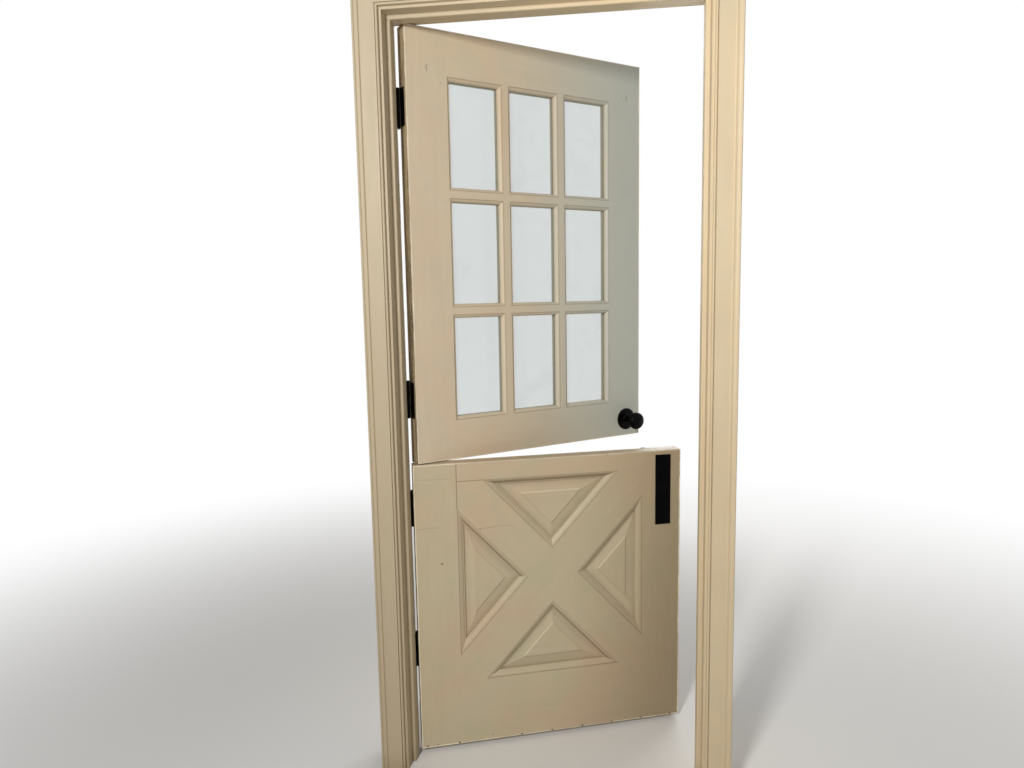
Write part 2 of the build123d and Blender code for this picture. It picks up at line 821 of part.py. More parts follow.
# Latch: a round case bored in from the edge, crossed by the knobs' spindle
latch_x = leaf_right - latch_backset
latch_case_length = latch_backset + latch_case_tail
case_end = leaf_right - latch_case_length
edge_plate_left = leaf_right - faceplate_thickness
faceplate_z = (latch_height - faceplate_height / 2, latch_height + faceplate_height / 2)
faceplate_screw_heights = [
    latch_height + side * (faceplate_height / 2 - faceplate_screw_inset) for side in (-1, 1)
]
faceplate_screws = [
    screw_solid((leaf_right, bolt_middle, height), (-1, 0, 0)) for height in faceplate_screw_heights
]
bolt_channel = block(
    (leaf_right - bolt_tail - bolt_throw - bolt_clearance, leaf_right),
    (bolt_middle - bolt_width / 2 - bolt_clearance, bolt_middle + bolt_width / 2 + bolt_clearance),
    (latch_height - bolt_height / 2 - bolt_clearance, latch_height + bolt_height / 2 + bolt_clearance),
)
with BuildPart() as latch_case:
    with BuildSketch(Plane((case_end, bolt_middle, latch_height), x_dir=(0, 1, 0), z_dir=(1, 0, 0))):
        Circle(latch_case_radius)
    extrude(amount=latch_case_length - faceplate_thickness)
    add(block(
        (edge_plate_left, leaf_right),
        (bolt_middle - faceplate_width / 2, bolt_middle + faceplate_width / 2),
        faceplate_z,
    ))
    add(bolt_channel, mode=Mode.SUBTRACT)
    with Locations(Location((latch_x, bolt_middle, latch_height), (90, 0, 0))):
        Cylinder(spindle_hub_radius, 2 * latch_case_radius, mode=Mode.SUBTRACT)
    for screw in faceplate_screws:
        add(screw, mode=Mode.SUBTRACT)
keep(latch_case.part, "latch_case", upper_rest_angle)

bolt_tip = leaf_right + bolt_throw
bolt_hall = bolt_middle - bolt_width / 2
with BuildPart() as latch_bolt:
    with BuildSketch(Plane.XY.offset(latch_height - bolt_height / 2)):
        with BuildLine():
            Polyline(
                (leaf_right - bolt_tail, bolt_hall),
                (leaf_right + bolt_nose_start, bolt_hall),
                (bolt_tip, bolt_hall + bolt_width - bolt_tip_width),
                (bolt_tip, bolt_hall + bolt_width),
                (leaf_right - bolt_tail, bolt_hall + bolt_width),
                close=True,
            )
        make_face()
    extrude(amount=bolt_height)
keep(latch_bolt.part, "latch_bolt", upper_rest_angle)

# Rosettes and knobs are turned forms, the same on both faces of the leaf
rosette_hole = knob_neck_radius + knob_neck_clearance
rosette_dome_height = rosette_rim + rosette_dome_rise
rosette_height = rosette_dome_height + rosette_collar_height
knob_waist_height = knob_neck_length + knob_flare_length
knob_belly_height = knob_waist_height + knob_belly_rise
knob_end_height = knob_belly_height + knob_shoulder_length
knob_crown_height = knob_end_height + knob_crown_rise
spindle_block = block(
    (latch_x - spindle_width / 2, latch_x + spindle_width / 2),
    (leaf_hall - spindle_reach, room_edge + spindle_reach),
    (latch_height - spindle_width / 2, latch_height + spindle_width / 2),
)
for side_name, face_y, outward in (("hall", leaf_hall, -1), ("room", room_edge, 1)):
    turning_plane = Plane((latch_x, face_y, latch_height), x_dir=(1, 0, 0), z_dir=(0, 0, outward))
    turning_axis = Axis((latch_x, face_y, latch_height), (0, outward, 0))
    with BuildPart() as rosette:
        with BuildSketch(turning_plane):
            with BuildLine():
                dome = ThreePointArc(
                    (rosette_radius, rosette_rim),
                    (
                        (rosette_radius + rosette_collar_radius) / 2,
                        rosette_rim + rosette_dome_rise / 2 + rosette_dome_bulge,
                    ),
                    (rosette_collar_radius, rosette_dome_height),
                )
                Polyline(
                    dome @ 1,
                    (rosette_collar_radius - rosette_collar_height, rosette_height),
                    (rosette_hole, rosette_height),
                    (rosette_hole, 0),
                    (rosette_radius, 0),
                    dome @ 0,
                )
            make_face()
        revolve(axis=turning_axis)
    keep(rosette.part, f"{side_name}_rosette", upper_rest_angle)
    with BuildPart() as knob:
        with BuildSketch(turning_plane):
            with BuildLine():
                neck = Polyline(
                    (0, knob_neck_start),
                    (knob_neck_radius, knob_neck_start),
                    (knob_neck_radius, knob_neck_length),
                )
                flare = ThreePointArc(
                    neck @ 1,
                    (
                        (knob_neck_radius + knob_waist_radius - knob_flare_sag) / 2,
                        knob_neck_length + (knob_flare_length + knob_flare_sag) / 2,
                    ),
                    (knob_waist_radius, knob_waist_height),
                )
                belly = ThreePointArc(
                    flare @ 1, (knob_radius, knob_belly_height), (knob_end_radius, knob_end_height)
                )
                crown = TangentArc((0, knob_crown_height), belly @ 1, tangent=(1, 0))
                Line(crown @ 0, neck @ 0)
            make_face()
        revolve(axis=turning_axis)
        add(spindle_block, mode=Mode.SUBTRACT)
    keep(knob.part, f"{side_name}_knob", upper_rest_angle)
keep(spindle_block, "knob_spindle", upper_rest_angle)

# Lower leaf: stiles and rails as above, with a long brace and two halves across it
lower_top_line = lower_top - lower_top_rail_face
lower_bottom_line = lower_bottom + lower_bottom_rail_face
left_panel_bar = panel_bar(
    Plane((leaf_left, leaf_hall, lower_bottom), x_dir=(1, 0, 0), z_dir=(0, 0, 1)),
    lower_leaf_height,
    stile_face,
)
right_panel_bar = panel_bar(
    Plane((leaf_right, leaf_hall, lower_top), x_dir=(-1, 0, 0), z_dir=(0, 0, -1)),
    lower_leaf_height,
    stile_face,
)
top_panel_bar = panel_bar(
    Plane((left_line, leaf_hall, lower_top), x_dir=(0, 0, -1), z_dir=(1, 0, 0)),
    rail_length,
    lower_top_rail_face,
)
bottom_panel_bar = panel_bar(
    Plane((right_line, leaf_hall, lower_bottom), x_dir=(0, 0, 1), z_dir=(-1, 0, 0)),
    rail_length,
    lower_bottom_rail_face,
)
lower_top_tenon_z = (lower_top_line, lower_top - tenon_shoulder)
lower_bottom_tenon_z = (lower_bottom + tenon_shoulder, lower_bottom_line)
lower_left_tenons = [
    tenon_block(left_tenon_x, *lower_top_tenon_z),
    tenon_block(left_tenon_x, *lower_bottom_tenon_z),
]
lower_right_tenons = [
    tenon_block(right_tenon_x, *lower_top_tenon_z),
    tenon_block(right_tenon_x, *lower_bottom_tenon_z),
]
with BuildPart() as lower_top_rail:
    add(top_panel_bar)
    add([left_panel_bar, right_panel_bar], mode=Mode.SUBTRACT)
    add([lower_left_tenons[0], lower_right_tenons[0]])
with BuildPart() as lower_bottom_rail:
    add(bottom_panel_bar)
    add([left_panel_bar, right_panel_bar], mode=Mode.SUBTRACT)
    add([lower_left_tenons[1], lower_right_tenons[1]])
with BuildPart() as lower_hinge_stile:
    add(left_panel_bar)
    add(lower_left_tenons + hinge_mortises["lower"] + leaf_screws["lower"], mode=Mode.SUBTRACT)

brace_rise = lower_top_line - lower_bottom_line
brace_run = rail_length
brace_angle = atan2(brace_rise, brace_run)
brace_overrun = brace_face
brace_length = sqrt(brace_rise**2 + brace_run**2) + 2 * brace_overrun
brace_window = block((left_line, right_line), (leaf_hall, room_edge), (lower_bottom_line, lower_top_line))
brace_bars = []
for foot_x, lean in ((left_line, 1), (right_line, -1)):
    along = (lean * cos(brace_angle), 0, sin(brace_angle))
    start = (foot_x - along[0] * brace_overrun, leaf_hall, lower_bottom_line - along[2] * brace_overrun)
    across = (sin(brace_angle), 0, -lean * cos(brace_angle))
    brace_bars.append(
        panel_bar(Plane(start, x_dir=across, z_dir=along), brace_length, brace_face / 2, centred=True)
    )
lower_frame_bars = [left_panel_bar, right_panel_bar, top_panel_bar, bottom_panel_bar]
with BuildPart() as long_brace:
    add(brace_bars[0])
    add(brace_window, mode=Mode.INTERSECT)
    add(lower_frame_bars, mode=Mode.SUBTRACT)
with BuildPart() as half_braces:
    add(brace_bars[1])
    add(brace_window, mode=Mode.INTERSECT)
    add(lower_frame_bars + [brace_bars[0]], mode=Mode.SUBTRACT)
keep(long_brace.part, "long_brace", lower_rest_angle)
half_brace_solids = half_braces.solids().sort_by(Axis.X)
for solid, name in zip(half_brace_solids, ("upper_half_brace", "lower_half_brace")):
    with BuildPart() as half_brace:
        add(solid)
    keep(half_brace.part, name, lower_rest_angle)

# Triangular panels: a thin tongue in the grooves, bevelled up to a raised field
panel_middle_x = (left_line + right_line) / 2
panel_middle_z = (lower_bottom_line + lower_top_line) / 2
corner_x = brace_face / 2 / sin(brace_angle)
corner_z = brace_face / 2 / cos(brace_angle)
panel_outlines = {
    "top_panel": (
        (left_line + corner_x, lower_top_line),
        (right_line - corner_x, lower_top_line),
        (panel_middle_x, panel_middle_z + corner_z),
    ),
    "bottom_panel": (
        (left_line + corner_x, lower_bottom_line),
        (right_line - corner_x, lower_bottom_line),
        (panel_middle_x, panel_middle_z - corner_z),
    ),
    "hinge_side_panel": (
        (left_line, lower_bottom_line + corner_z),
        (left_line, lower_top_line - corner_z),
        (panel_middle_x - corner_x, panel_middle_z),
    ),
    "lock_side_panel": (
        (right_line, lower_bottom_line + corner_z),
        (right_line, lower_top_line - corner_z),
        (panel_middle_x + corner_x, panel_middle_z),
    ),
}
panel_sight = panel_mould_width + panel_lip
tongue_inset = panel_sight - panel_groove_depth + panel_clearance
leaf_middle_y = (leaf_hall + room_edge) / 2
for name, outline in panel_outlines.items():
    with BuildPart() as panel:
        with BuildSketch(Plane((0, leaf_middle_y, 0), x_dir=(1, 0, 0), z_dir=(0, -1, 0))):
            with BuildLine():
                Polyline(*outline, close=True)
            make_face()
            offset(amount=-tongue_inset, kind=Kind.INTERSECTION)
        extrude(amount=panel_groove_width / 2, both=True)
        for outward in (-1, 1):
            levels = [
                (panel_sight, panel_groove_width / 2),
                (panel_sight + panel_bevel_width, panel_groove_width / 2 + panel_bevel_height),
            ]
            for inset, height in levels:
                with BuildSketch(
                    Plane((0, leaf_middle_y + outward * height, 0), x_dir=(1, 0, 0), z_dir=(0, -1, 0))
                ):
                    with BuildLine():
                        Polyline(*outline, close=True)
                    make_face()
                    offset(amount=-inset, kind=Kind.INTERSECTION)
            loft()
            field_y = leaf_middle_y + outward * (panel_groove_width / 2 + panel_bevel_height)
            with BuildSketch(Plane((0, field_y, 0), x_dir=(1, 0, 0), z_dir=(0, -1, 0))):
                with BuildLine():
                    Polyline(*outline, close=True)
                make_face()
                offset(amount=-(panel_sight + panel_bevel_width + panel_field_step), kind=Kind.INTERSECTION)
            extrude(amount=-outward * panel_field_step)
    keep(panel.part, name, lower_rest_angle)

# Cover plate on the hall side, over the old lock's place
plate_right_x = leaf_right - cover_plate_edge_distance
plate_top_z = lower_top - cover_plate_drop
with BuildPart() as cover_plate:
    add(block(
        (plate_right_x - cover_plate_width, plate_right_x),
        (leaf_hall - cover_plate_thickness, leaf_hall),
        (plate_top_z - cover_plate_height, plate_top_z),
    ))
    chamfer(cover_plate.faces().sort_by(Axis.Y)[0].edges(), cover_plate_bevel)
keep(cover_plate.part, "cover_plate", lower_rest_angle)

# Surface bolt: a plate with two guides on the lower leaf, a keeper on the upper
rod_x = leaf_right - rod_edge_distance
rod_standoff = slide_plate_thickness + rod_plate_gap + rod_radius
rod_y = room_edge + rod_standoff
rod_top = lower_top - rod_drop
rod_foot = rod_top - rod_length
slide_top = lower_top - rod_drop / 2
slide_bottom = slide_top - slide_plate_height
guide_radius = rod_radius + rod_clearance + guide_ring_wall
guide_lows = [slide_bottom + guide_foot, slide_top - guide_height]


def rod_guide(low, height):
    """A guide with a round top that stands on the leaf and holds the rod."""
    with BuildPart() as guide:
        with BuildSketch(Plane.XY.offset(low)):
            with Locations((rod_x, rod_y)):
                Circle(guide_radius)
            with Locations((rod_x, (room_edge + rod_y) / 2)):
                Rectangle(2 * guide_radius, rod_standoff)
            with Locations((rod_x, rod_y)):
                Circle(rod_radius + rod_clearance, mode=Mode.SUBTRACT)
        extrude(amount=height)
    return guide.part


slide_middle = (slide_top + slide_bottom) / 2
slide_screw_reach = slide_plate_width / 2 - screw_head_radius - slide_screw_margin
plate_face = room_edge + slide_plate_thickness
slide_screws = []
for height in (slide_middle - slide_screw_spread / 2, slide_middle + slide_screw_spread / 2):
    for side in (-1, 1):
        spot = (rod_x + side * slide_screw_reach, plate_face, height)
        slide_screws.append(screw_solid(spot, (0, -1, 0)))
guides = [rod_guide(low, guide_height) for low in guide_lows]
with BuildPart() as bolt_slide:
    add(block(
        (rod_x - slide_plate_width / 2, rod_x + slide_plate_width / 2),
        (room_edge, plate_face),
        (slide_bottom, slide_top),
    ))
    add(guides)
    for screw in slide_screws:
        add(screw, mode=Mode.SUBTRACT)
keep(bolt_slide.part, "bolt_slide", lower_rest_angle)

grip_height = (guide_lows[0] + guide_height + guide_lows[1] - rod_travel) / 2
with BuildPart() as joining_bolt:
    with BuildSketch(Plane.XY.offset(rod_foot)):
        with Locations((rod_x, rod_y)):
            Circle(rod_radius)
    extrude(amount=rod_length)
    chamfer(joining_bolt.edges().sort_by(Axis.Z)[-1], rod_tip_chamfer)
    with BuildSketch(Plane((rod_x, rod_y, grip_height), x_dir=(1, 0, 0), z_dir=(0, 1, 0))):
        Circle(rod_grip_neck_radius)
    extrude(amount=rod_grip_length)
    grip_plane = Plane((rod_x, rod_y + rod_grip_length, grip_height), x_dir=(1, 0, 0), z_dir=(0, 1, 0))
    with BuildSketch(grip_plane):
        Circle(rod_grip_radius)
    extrude(amount=rod_grip_radius)
keep(joining_bolt.part, "joining_bolt", lower_rest_angle)

keeper_low = upper_bottom + keeper_rise
keeper_middle = keeper_low + keeper_height / 2
keeper_screws = [
    screw_solid((rod_x + side * keeper_screw_spread / 2, plate_face, keeper_middle), (0, -1, 0))
    for side in (-1, 1)
]
keeper_reach = keeper_screw_spread / 2 + screw_head_radius + keeper_margin
keeper_guide = rod_guide(keeper_low, keeper_height)
with BuildPart() as bolt_keeper:
    add(block(
        (rod_x - keeper_reach, rod_x + keeper_reach),
        (room_edge, plate_face),
        (keeper_low, keeper_low + keeper_height),
    ))
    add(keeper_guide)
    for screw in keeper_screws:
        add(screw, mode=Mode.SUBTRACT)
keep(bolt_keeper.part, "bolt_keeper", upper_rest_angle)

with BuildPart() as lower_lock_stile:
    add(right_panel_bar)
    add(lower_right_tenons + slide_screws, mode=Mode.SUBTRACT)
keep(lower_lock_stile.part, "lower_lock_stile", lower_rest_angle)
keep(lower_hinge_stile.part, "lower_hinge_stile", lower_rest_angle)
keep(lower_top_rail.part, "lower_top_rail", lower_rest_angle)
keep(lower_bottom_rail.part, "lower_bottom_rail", lower_rest_angle)

with BuildPart() as upper_lock_stile:
    add(right_sash)
    add(upper_right_tenons, mode=Mode.SUBTRACT)
    add(block(
        (edge_plate_left, leaf_right),
        (bolt_middle - faceplate_width / 2, bolt_middle + faceplate_width / 2),
        faceplate_z,
    ), mode=Mode.SUBTRACT)
    with BuildSketch(Plane((leaf_right, bolt_middle, latch_height), x_dir=(0, 1, 0), z_dir=(-1, 0, 0))):
        Circle(latch_case_radius + latch_bore_clearance)
    extrude(amount=latch_case_length, mode=Mode.SUBTRACT)
    with Locations(Location((latch_x, bolt_middle, latch_height), (90, 0, 0))):
        Cylinder(spindle_bore_radius, leaf_thickness, mode=Mode.SUBTRACT)
    add(faceplate_screws + keeper_screws, mode=Mode.SUBTRACT)
keep(upper_lock_stile.part, "upper_lock_stile", upper_rest_angle)

for leaf, extra, angle in (
    ("upper", faceplate_screws + keeper_screws, upper_rest_angle),
    ("lower", slide_screws, lower_rest_angle),
):
    with BuildPart() as screw_set:
        for screw in leaf_screws[leaf] + extra:
            add(screw)
    keep(screw_set.part, f"{leaf}_leaf_screws", angle)
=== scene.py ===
from math import cos, pi, radians, sin

import bpy
import numpy as np
from mathutils import Matrix, Vector


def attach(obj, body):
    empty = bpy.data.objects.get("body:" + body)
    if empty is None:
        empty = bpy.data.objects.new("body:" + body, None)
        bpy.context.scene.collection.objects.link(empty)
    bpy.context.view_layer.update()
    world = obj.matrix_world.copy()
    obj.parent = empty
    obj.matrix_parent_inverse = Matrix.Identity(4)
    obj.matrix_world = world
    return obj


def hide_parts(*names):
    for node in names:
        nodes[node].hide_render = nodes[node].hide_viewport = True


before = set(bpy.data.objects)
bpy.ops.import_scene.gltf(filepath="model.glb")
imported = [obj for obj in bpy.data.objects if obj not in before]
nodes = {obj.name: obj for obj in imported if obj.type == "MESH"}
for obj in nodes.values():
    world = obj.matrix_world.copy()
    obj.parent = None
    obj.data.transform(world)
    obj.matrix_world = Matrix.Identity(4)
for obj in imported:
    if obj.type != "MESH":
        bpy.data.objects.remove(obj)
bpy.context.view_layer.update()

print("frame loaded:", len(nodes), "nodes")

# The door as it hangs, in metres. Both leaves turn about one upright line, and
# "closed" coordinates are those of a leaf before it is swung to where it stands.
door = {
    "hingeLine": (0.011, 0.065, 0.0),
    "upperAngle": 38.4,
    "lowerAngle": 19.1,
    "leafLeft": 0.0125,
    "leafRight": 0.8165,
    "hallFace": 0.0145,
    "roomFace": 0.0585,
    "lowerBottom": 0.014,
    "lowerTop": 0.863,
    "upperBottom": 0.866,
    "upperTop": 2.046,
}
leafMiddle = (door["hallFace"] + door["roomFace"]) / 2
leafHalf = (door["roomFace"] - door["hallFace"]) / 2


def tone(red, green, blue):
    # a colour written as it looks on a screen, 0 to 255, as the light it stands for
    parts = [level / 255 for level in (red, green, blue)]
    light = [part / 12.92 if part < 0.04045 else ((part + 0.055) / 1.055) ** 2.4 for part in parts]
    return (*light, 1.0)


# One number coming out of a shader node, so that sums on it read as sums
class Wire:
    def __init__(self, net, socket):
        self.net, self.socket = net, socket

    def sums(self, operation, first, second=0.0):
        return self.net.node("ShaderNodeMath", {"operation": operation}, {0: first, 1: second})

    def __add__(self, other):
        return self.sums("ADD", self, other)

    def __sub__(self, other):
        return self.sums("SUBTRACT", self, other)

    def __rsub__(self, other):
        return self.sums("SUBTRACT", other, self)

    def __mul__(self, other):
        return self.sums("MULTIPLY", self, other)

    def __truediv__(self, other):
        return self.sums("DIVIDE", self, other)

    def __rtruediv__(self, other):
        return self.sums("DIVIDE", other, self)

    def __abs__(self):
        return self.sums("ABSOLUTE", self)

    __radd__, __rmul__ = __add__, __mul__

    def root(self):
        return self.sums("SQRT", self)

    def higher(self, other):
        return self.sums("MAXIMUM", self, other)

    def sibling(self, key):
        # another output of the node that this one comes from
        return Wire(self.net, self.socket.node.outputs[key])


# A node tree under construction
class Net:
    def __init__(self, tree):
        self.tree = tree

    def node(self, kind, settings=None, sockets=None, output=0):
        made = self.tree.nodes.new(kind)
        for key, value in (settings or {}).items():
            setattr(made, key, value)
        for key, value in (sockets or {}).items():
            self.join(made.inputs[key], value)
        return Wire(self, made.outputs[output])

    def join(self, socket, value):
        if isinstance(value, Wire):
            self.tree.links.new(value.socket, socket)
        else:
            socket.default_value = value

    def ramp(self, value, low, high, start=0.0, end=1.0):
        sockets = {0: value, 1: low, 2: high, 3: start, 4: end}
        return self.node("ShaderNodeMapRange", {"interpolation_type": "SMOOTHSTEP"}, sockets)

    def seenDirectly(self):
        # 1 for rays from the camera, off gloss or through glass, 0 for light falling on things
        seen = self.node("ShaderNodeLightPath", output="Is Camera Ray")
        return seen.higher(seen.sibling("Is Glossy Ray")).higher(seen.sibling("Is Transmission Ray"))


# A material under construction, with the few node groups that every finish here needs
class Finish(Net):
    def __init__(self, name):
        self.material = bpy.data.materials.new(name)
        self.material.use_nodes = True
        super().__init__(self.material.node_tree)
        self.shader = self.tree.nodes["Principled BSDF"]

    def set(self, **values):
        for key, value in values.items():
            self.join(self.shader.inputs[key.replace("_", " ")], value)

    def place(self, angle=0.0):
        # object coordinates, turned back to where the leaf would be if it were closed
        here = self.node("ShaderNodeTexCoord", output="Object")
        if not angle:
            return here
        sockets = {"Vector": here, "Center": door["hingeLine"], "Angle": -radians(angle)}
        return self.node("ShaderNodeVectorRotate", {"rotation_type": "Z_AXIS"}, sockets)

    def split(self, vector):
        first = self.node("ShaderNodeSeparateXYZ", {}, {0: vector})
        return [first.sibling(n) for n in range(3)]

    def noise(self, where, scale=1.0, detail=2.0, roughness=0.5, distortion=0.0):
        sockets = {"Vector": where, "Scale": scale, "Detail": detail, "Roughness": roughness,
                   "Distortion": distortion}
        return self.node("ShaderNodeTexNoise", {}, sockets)

    def grain(self, across, depth, along, waves, **settings):
        # noise drawn out along one direction; waves a metre across and along it
        sockets = {0: across * waves[0], 1: depth * waves[0], 2: along * waves[1]}
        return self.noise(self.node("ShaderNodeCombineXYZ", {}, sockets), **settings)

    def mix(self, amount, first, second):
        return self.node("ShaderNodeMix", {"data_type": "RGBA"}, {0: amount, 6: first, 7: second}, 2)

    def cover(self, colour, pattern, layer, second):
        # a layer is where it starts and is full on its pattern, and its share there
        start, full, share = layer
        return self.mix(self.ramp(pattern, start, full) * share, colour, second)

    def bump(self, height, distance):
        return self.node("ShaderNodeBump", {}, {"Strength": 1.0, "Distance": distance, "Height": height})

    def stroke(self, x, z, start, end, width, soft):
        # 1 within half the width of a straight line from start to end, 0 past the soft edge
        run = (end[0] - start[0], end[1] - start[1])
        fromX, fromZ = x - start[0], z - start[1]
        share = (fromX * run[0] + fromZ * run[1]) / (run[0] ** 2 + run[1] ** 2)
        along = self.node("ShaderNodeClamp", {}, {0: share, 1: 0.0, 2: 1.0})
        gapX, gapZ = fromX - along * run[0], fromZ - along * run[1]
        return self.ramp((gapX * gapX + gapZ * gapZ).root(), width / 2, width / 2 + soft, 1.0, 0.0)

    def spot(self, x, z, middle, radius, soft):
        gapX, gapZ = x - middle[0], z - middle[1]
        return self.ramp((gapX * gapX + gapZ * gapZ).root(), radius, radius + soft, 1.0, 0.0)


# Painted wood: its tones, its relief and gloss, and how far in from the hall side the fades
# and marks go (fadeDepth is a place in the leaf's depth, markDepth is measured from the face)
paint = {
    "leafTone": tone(219, 201, 172),
    "leafWarm": tone(219, 196, 166),
    "leafCool": tone(211, 199, 172),
    # the lower leaf has the leaves' paint, its tones set darker as a painted shade
    "lowerShadedTone": tone(197, 182, 151),
    "lowerShadedWarm": tone(201, 176, 146),
    "lowerShadedCool": tone(190, 181, 148),
    "frameTone": tone(229, 209, 173),
    "frameWarm": tone(226, 204, 168),
    "frameCool": tone(221, 205, 172),
    # a pale tone for painted highlights: the arrises, the paint's sheen along its strokes, and the
    # panels' lit field edges
    "highlightTone": tone(244, 232, 208),
    # painted light: the cool light of the room beyond, faded over the upper leaf's lock side
    "paintedRoomLight": tone(198, 203, 192),
    # a grime tone, also used as painted shade over the lower leaf's lock side and the frame's foot
    "grimeAndShade": tone(146, 129, 100),
    "shadeFade": tone(190, 174, 146),
    # painted shade for the mouldings' depths, quirks and undersides
    "creviceShade": tone(104, 86, 58),
    # the hinge edge's browns: bare wood and dirt, and partly painted shade
    "bareAndShadedEdge": tone(176, 154, 115),
    "bareAndShadedStreak": tone(98, 86, 60),
    # a dirt tone, also used for the painted shade along the panels' fields
    "dirtAndShade": tone(70, 56, 38),
    "strokeDepth": 0.00015,
    "specular": 0.32,
    "roughness": (0.40, 0.56),
    "fadeDepth": (0.034, 0.016),
    "markDepth": (0.0035, 0.0025),
    "panelDepth": 0.014,
    "speckGrit": (0.74, 0.80),
    "speckPlaces": (0.52, 0.62),
    "speckShare": 0.55,
    "splashWander": 0.05,
    "edgeWander": 0.0022,
    "edgeStreaks": (0.42, 0.62),
    "wideWander": 0.6,
    "relief": {"strokes": 0.6, "wide": 0.7, "patches": 0.5, "marks": 2.0},
}

# The patterns in the coats. Brush marks are drawn out along the grain.
coats = {
    "strokes": {"waves": (420.0, 9.0), "detail": 3.0, "roughness": 0.65, "distortion": 0.4},
    "wide": {"waves": (46.0, 3.5), "detail": 2.0, "roughness": 0.6},
    "clouds": {"scale": 3.1, "detail": 2.0, "roughness": 0.55},
    "patches": {"scale": 11.0, "detail": 3.0, "roughness": 0.6, "distortion": 0.6},
    "grit": {"scale": 640.0, "detail": 1.0},
    "rare": {"scale": 38.0, "detail": 2.0},
    "ragged": {"scale": 190.0, "detail": 3.0, "roughness": 0.7},
}

# Each layer of colour: where it starts and is full on its pattern, and its share there
layers = {
    "warm": (0.42, 0.62, 0.75),
    "cool": (0.46, 0.68, 0.6),
    "wideGrime": (0.35, 0.7, 0.05),
    "strokeGrime": (0.56, 0.8, 0.06),
    "strokeShine": (0.44, 0.24, 0.12),
    # painted shade: the frame darker down towards the floor
    "footShade": (2.0, 0.2, 0.33),
    "footDamp": (0.075, 0.0, 0.45),
    "bareAndShadedEdge": (0.0006, -0.0001, 1.0),
}

# Painted shade in the leaves' mouldings, by depth in from the nearer face: deep in them, in their quirks
# and on their undersides
moulding = {
    "recessDepth": (0.0120, 0.0175), "recessWander": 0.003, "recessShade": 0.14,
    "quirkNear": (0.0005, 0.0011), "quirkFar": (0.0030, 0.0022), "quirk": 0.3,
    "underFacing": (-0.12, -0.5), "underDepth": (0.0012, 0.0040),
}

# Blemishes in closed coordinates (x, z), metres: lines as start, end, width, soft
# edge and strength, and spots as middle, radius, soft edge and strength.
blemishes = {
    "upper_hinge_stile": {
        "lines": [
            ((0.0752, 1.951), (0.0749, 1.935), 0.0010, 0.0022, 0.40),
            ((0.0703, 1.947), (0.0705, 1.940), 0.0008, 0.0020, 0.25),
        ],
        "spots": [((0.1166, 1.908), 0.0009, 0.0022, 0.4)],
    },
    "upper_lock_stile": {
        "lines": [((0.762, 1.952), (0.7622, 1.938), 0.001, 0.003, 0.35)],
        "spots": [((0.742, 1.945), 0.001, 0.003, 0.25)],
    },
    "lower_hinge_stile": {
        "lines": [
            ((0.1343, 0.7285), (0.1343, 0.862), 0.0011, 0.0009, 0.65),
            ((0.0150, 0.8205), (0.1180, 0.8190), 0.0004, 0.0016, 0.16),
            ((0.0200, 0.6772), (0.0560, 0.6790), 0.0005, 0.0018, 0.20),
            ((0.0560, 0.6790), (0.0841, 0.6779), 0.0005, 0.0018, 0.20),
        ],
        "spots": [((0.0867, 0.5711), 0.0021, 0.0019, 0.7)],
    },
    "lower_top_rail": {
        "lines": [
            ((0.1347, 0.800), (0.1347, 0.862), 0.0007, 0.0009, 0.5),
            ((0.1350, 0.8095), (0.216, 0.8095), 0.0007, 0.0012, 0.5),
            ((0.616, 0.8095), (0.694, 0.8095), 0.0006, 0.0012, 0.4),
        ],
        "spots": [((0.585, 0.8605), 0.0016, 0.002, 0.8), ((0.6456, 0.8600), 0.0012, 0.002, 0.6)],
    },
    "upper_half_brace": {
        "lines": [
            ((0.1350, 0.8092), (0.212, 0.8092), 0.0007, 0.0012, 0.5),
            ((0.1347, 0.7285), (0.1347, 0.810), 0.0007, 0.0009, 0.5),
            ((0.1993, 0.6653), (0.2492, 0.6701), 0.0004, 0.0018, 0.28),
            ((0.2492, 0.6701), (0.2966, 0.6692), 0.0004, 0.0018, 0.20),
        ],
        "spots": [((0.1993, 0.6653), 0.0014, 0.0022, 0.4)],
    },
}

# The rectangle that the crossed braces cut into four triangular openings
opening = {"left": 0.1345, "right": 0.6945, "bottom": 0.207, "top": 0.810, "brace": 0.111}
left, right, bottom, top = (opening[key] for key in ("left", "right", "bottom", "top"))
width, height = right - left, top - bottom
slant = (width ** 2 + height ** 2) ** 0.5
cutX, cutZ = opening["brace"] / 2 * slant / height, opening["brace"] / 2 * slant / width
middleX, middleZ = (left + right) / 2, (bottom + top) / 2
panelCorners = {
    "top_panel": [(left + cutX, top), (right - cutX, top), (middleX, middleZ + cutZ)],
    "bottom_panel": [(left + cutX, bottom), (right - cutX, bottom), (middleX, middleZ - cutZ)],
    "hinge_side_panel": [(left, bottom + cutZ), (left, top - cutZ), (middleX - cutX, middleZ)],
    "lock_side_panel": [(right, bottom + cutZ), (right, top - cutZ), (middleX + cutX, middleZ)],
}

# Painted shade and painted highlight round the raised field of a panel, as lit from the upper left:
# width, soft edge and strength
field = {
    "inset": 0.0494, "lightFrom": (-0.6, 0.8),
    "paleAbove": 0.7, "pale": (0.0016, 0.0012, 0.55),
    "shadeBelow": 0.5, "shadeLine": (0.0009, 0.0009),
    "shadeLevel": 0.12, "shadeSlope": 0.75, "shadeMost": 0.65,
}


def inwardTriangle(corners, inset):
    # each corner moves along the line to the incircle's middle, by the inset's share of its radius
    points = [np.array(corner) for corner in corners]
    sides = [np.linalg.norm(points[n - 1] - points[n - 2]) for n in range(3)]
    middle = sum(side * point for side, point in zip(sides, points)) / sum(sides)
    run, rise = points[1] - points[0], points[2] - points[0]
    radius = abs(run[0] * rise[1] - run[1] * rise[0]) / sum(sides)
    return [point + (middle - point) * inset / radius for point in points]


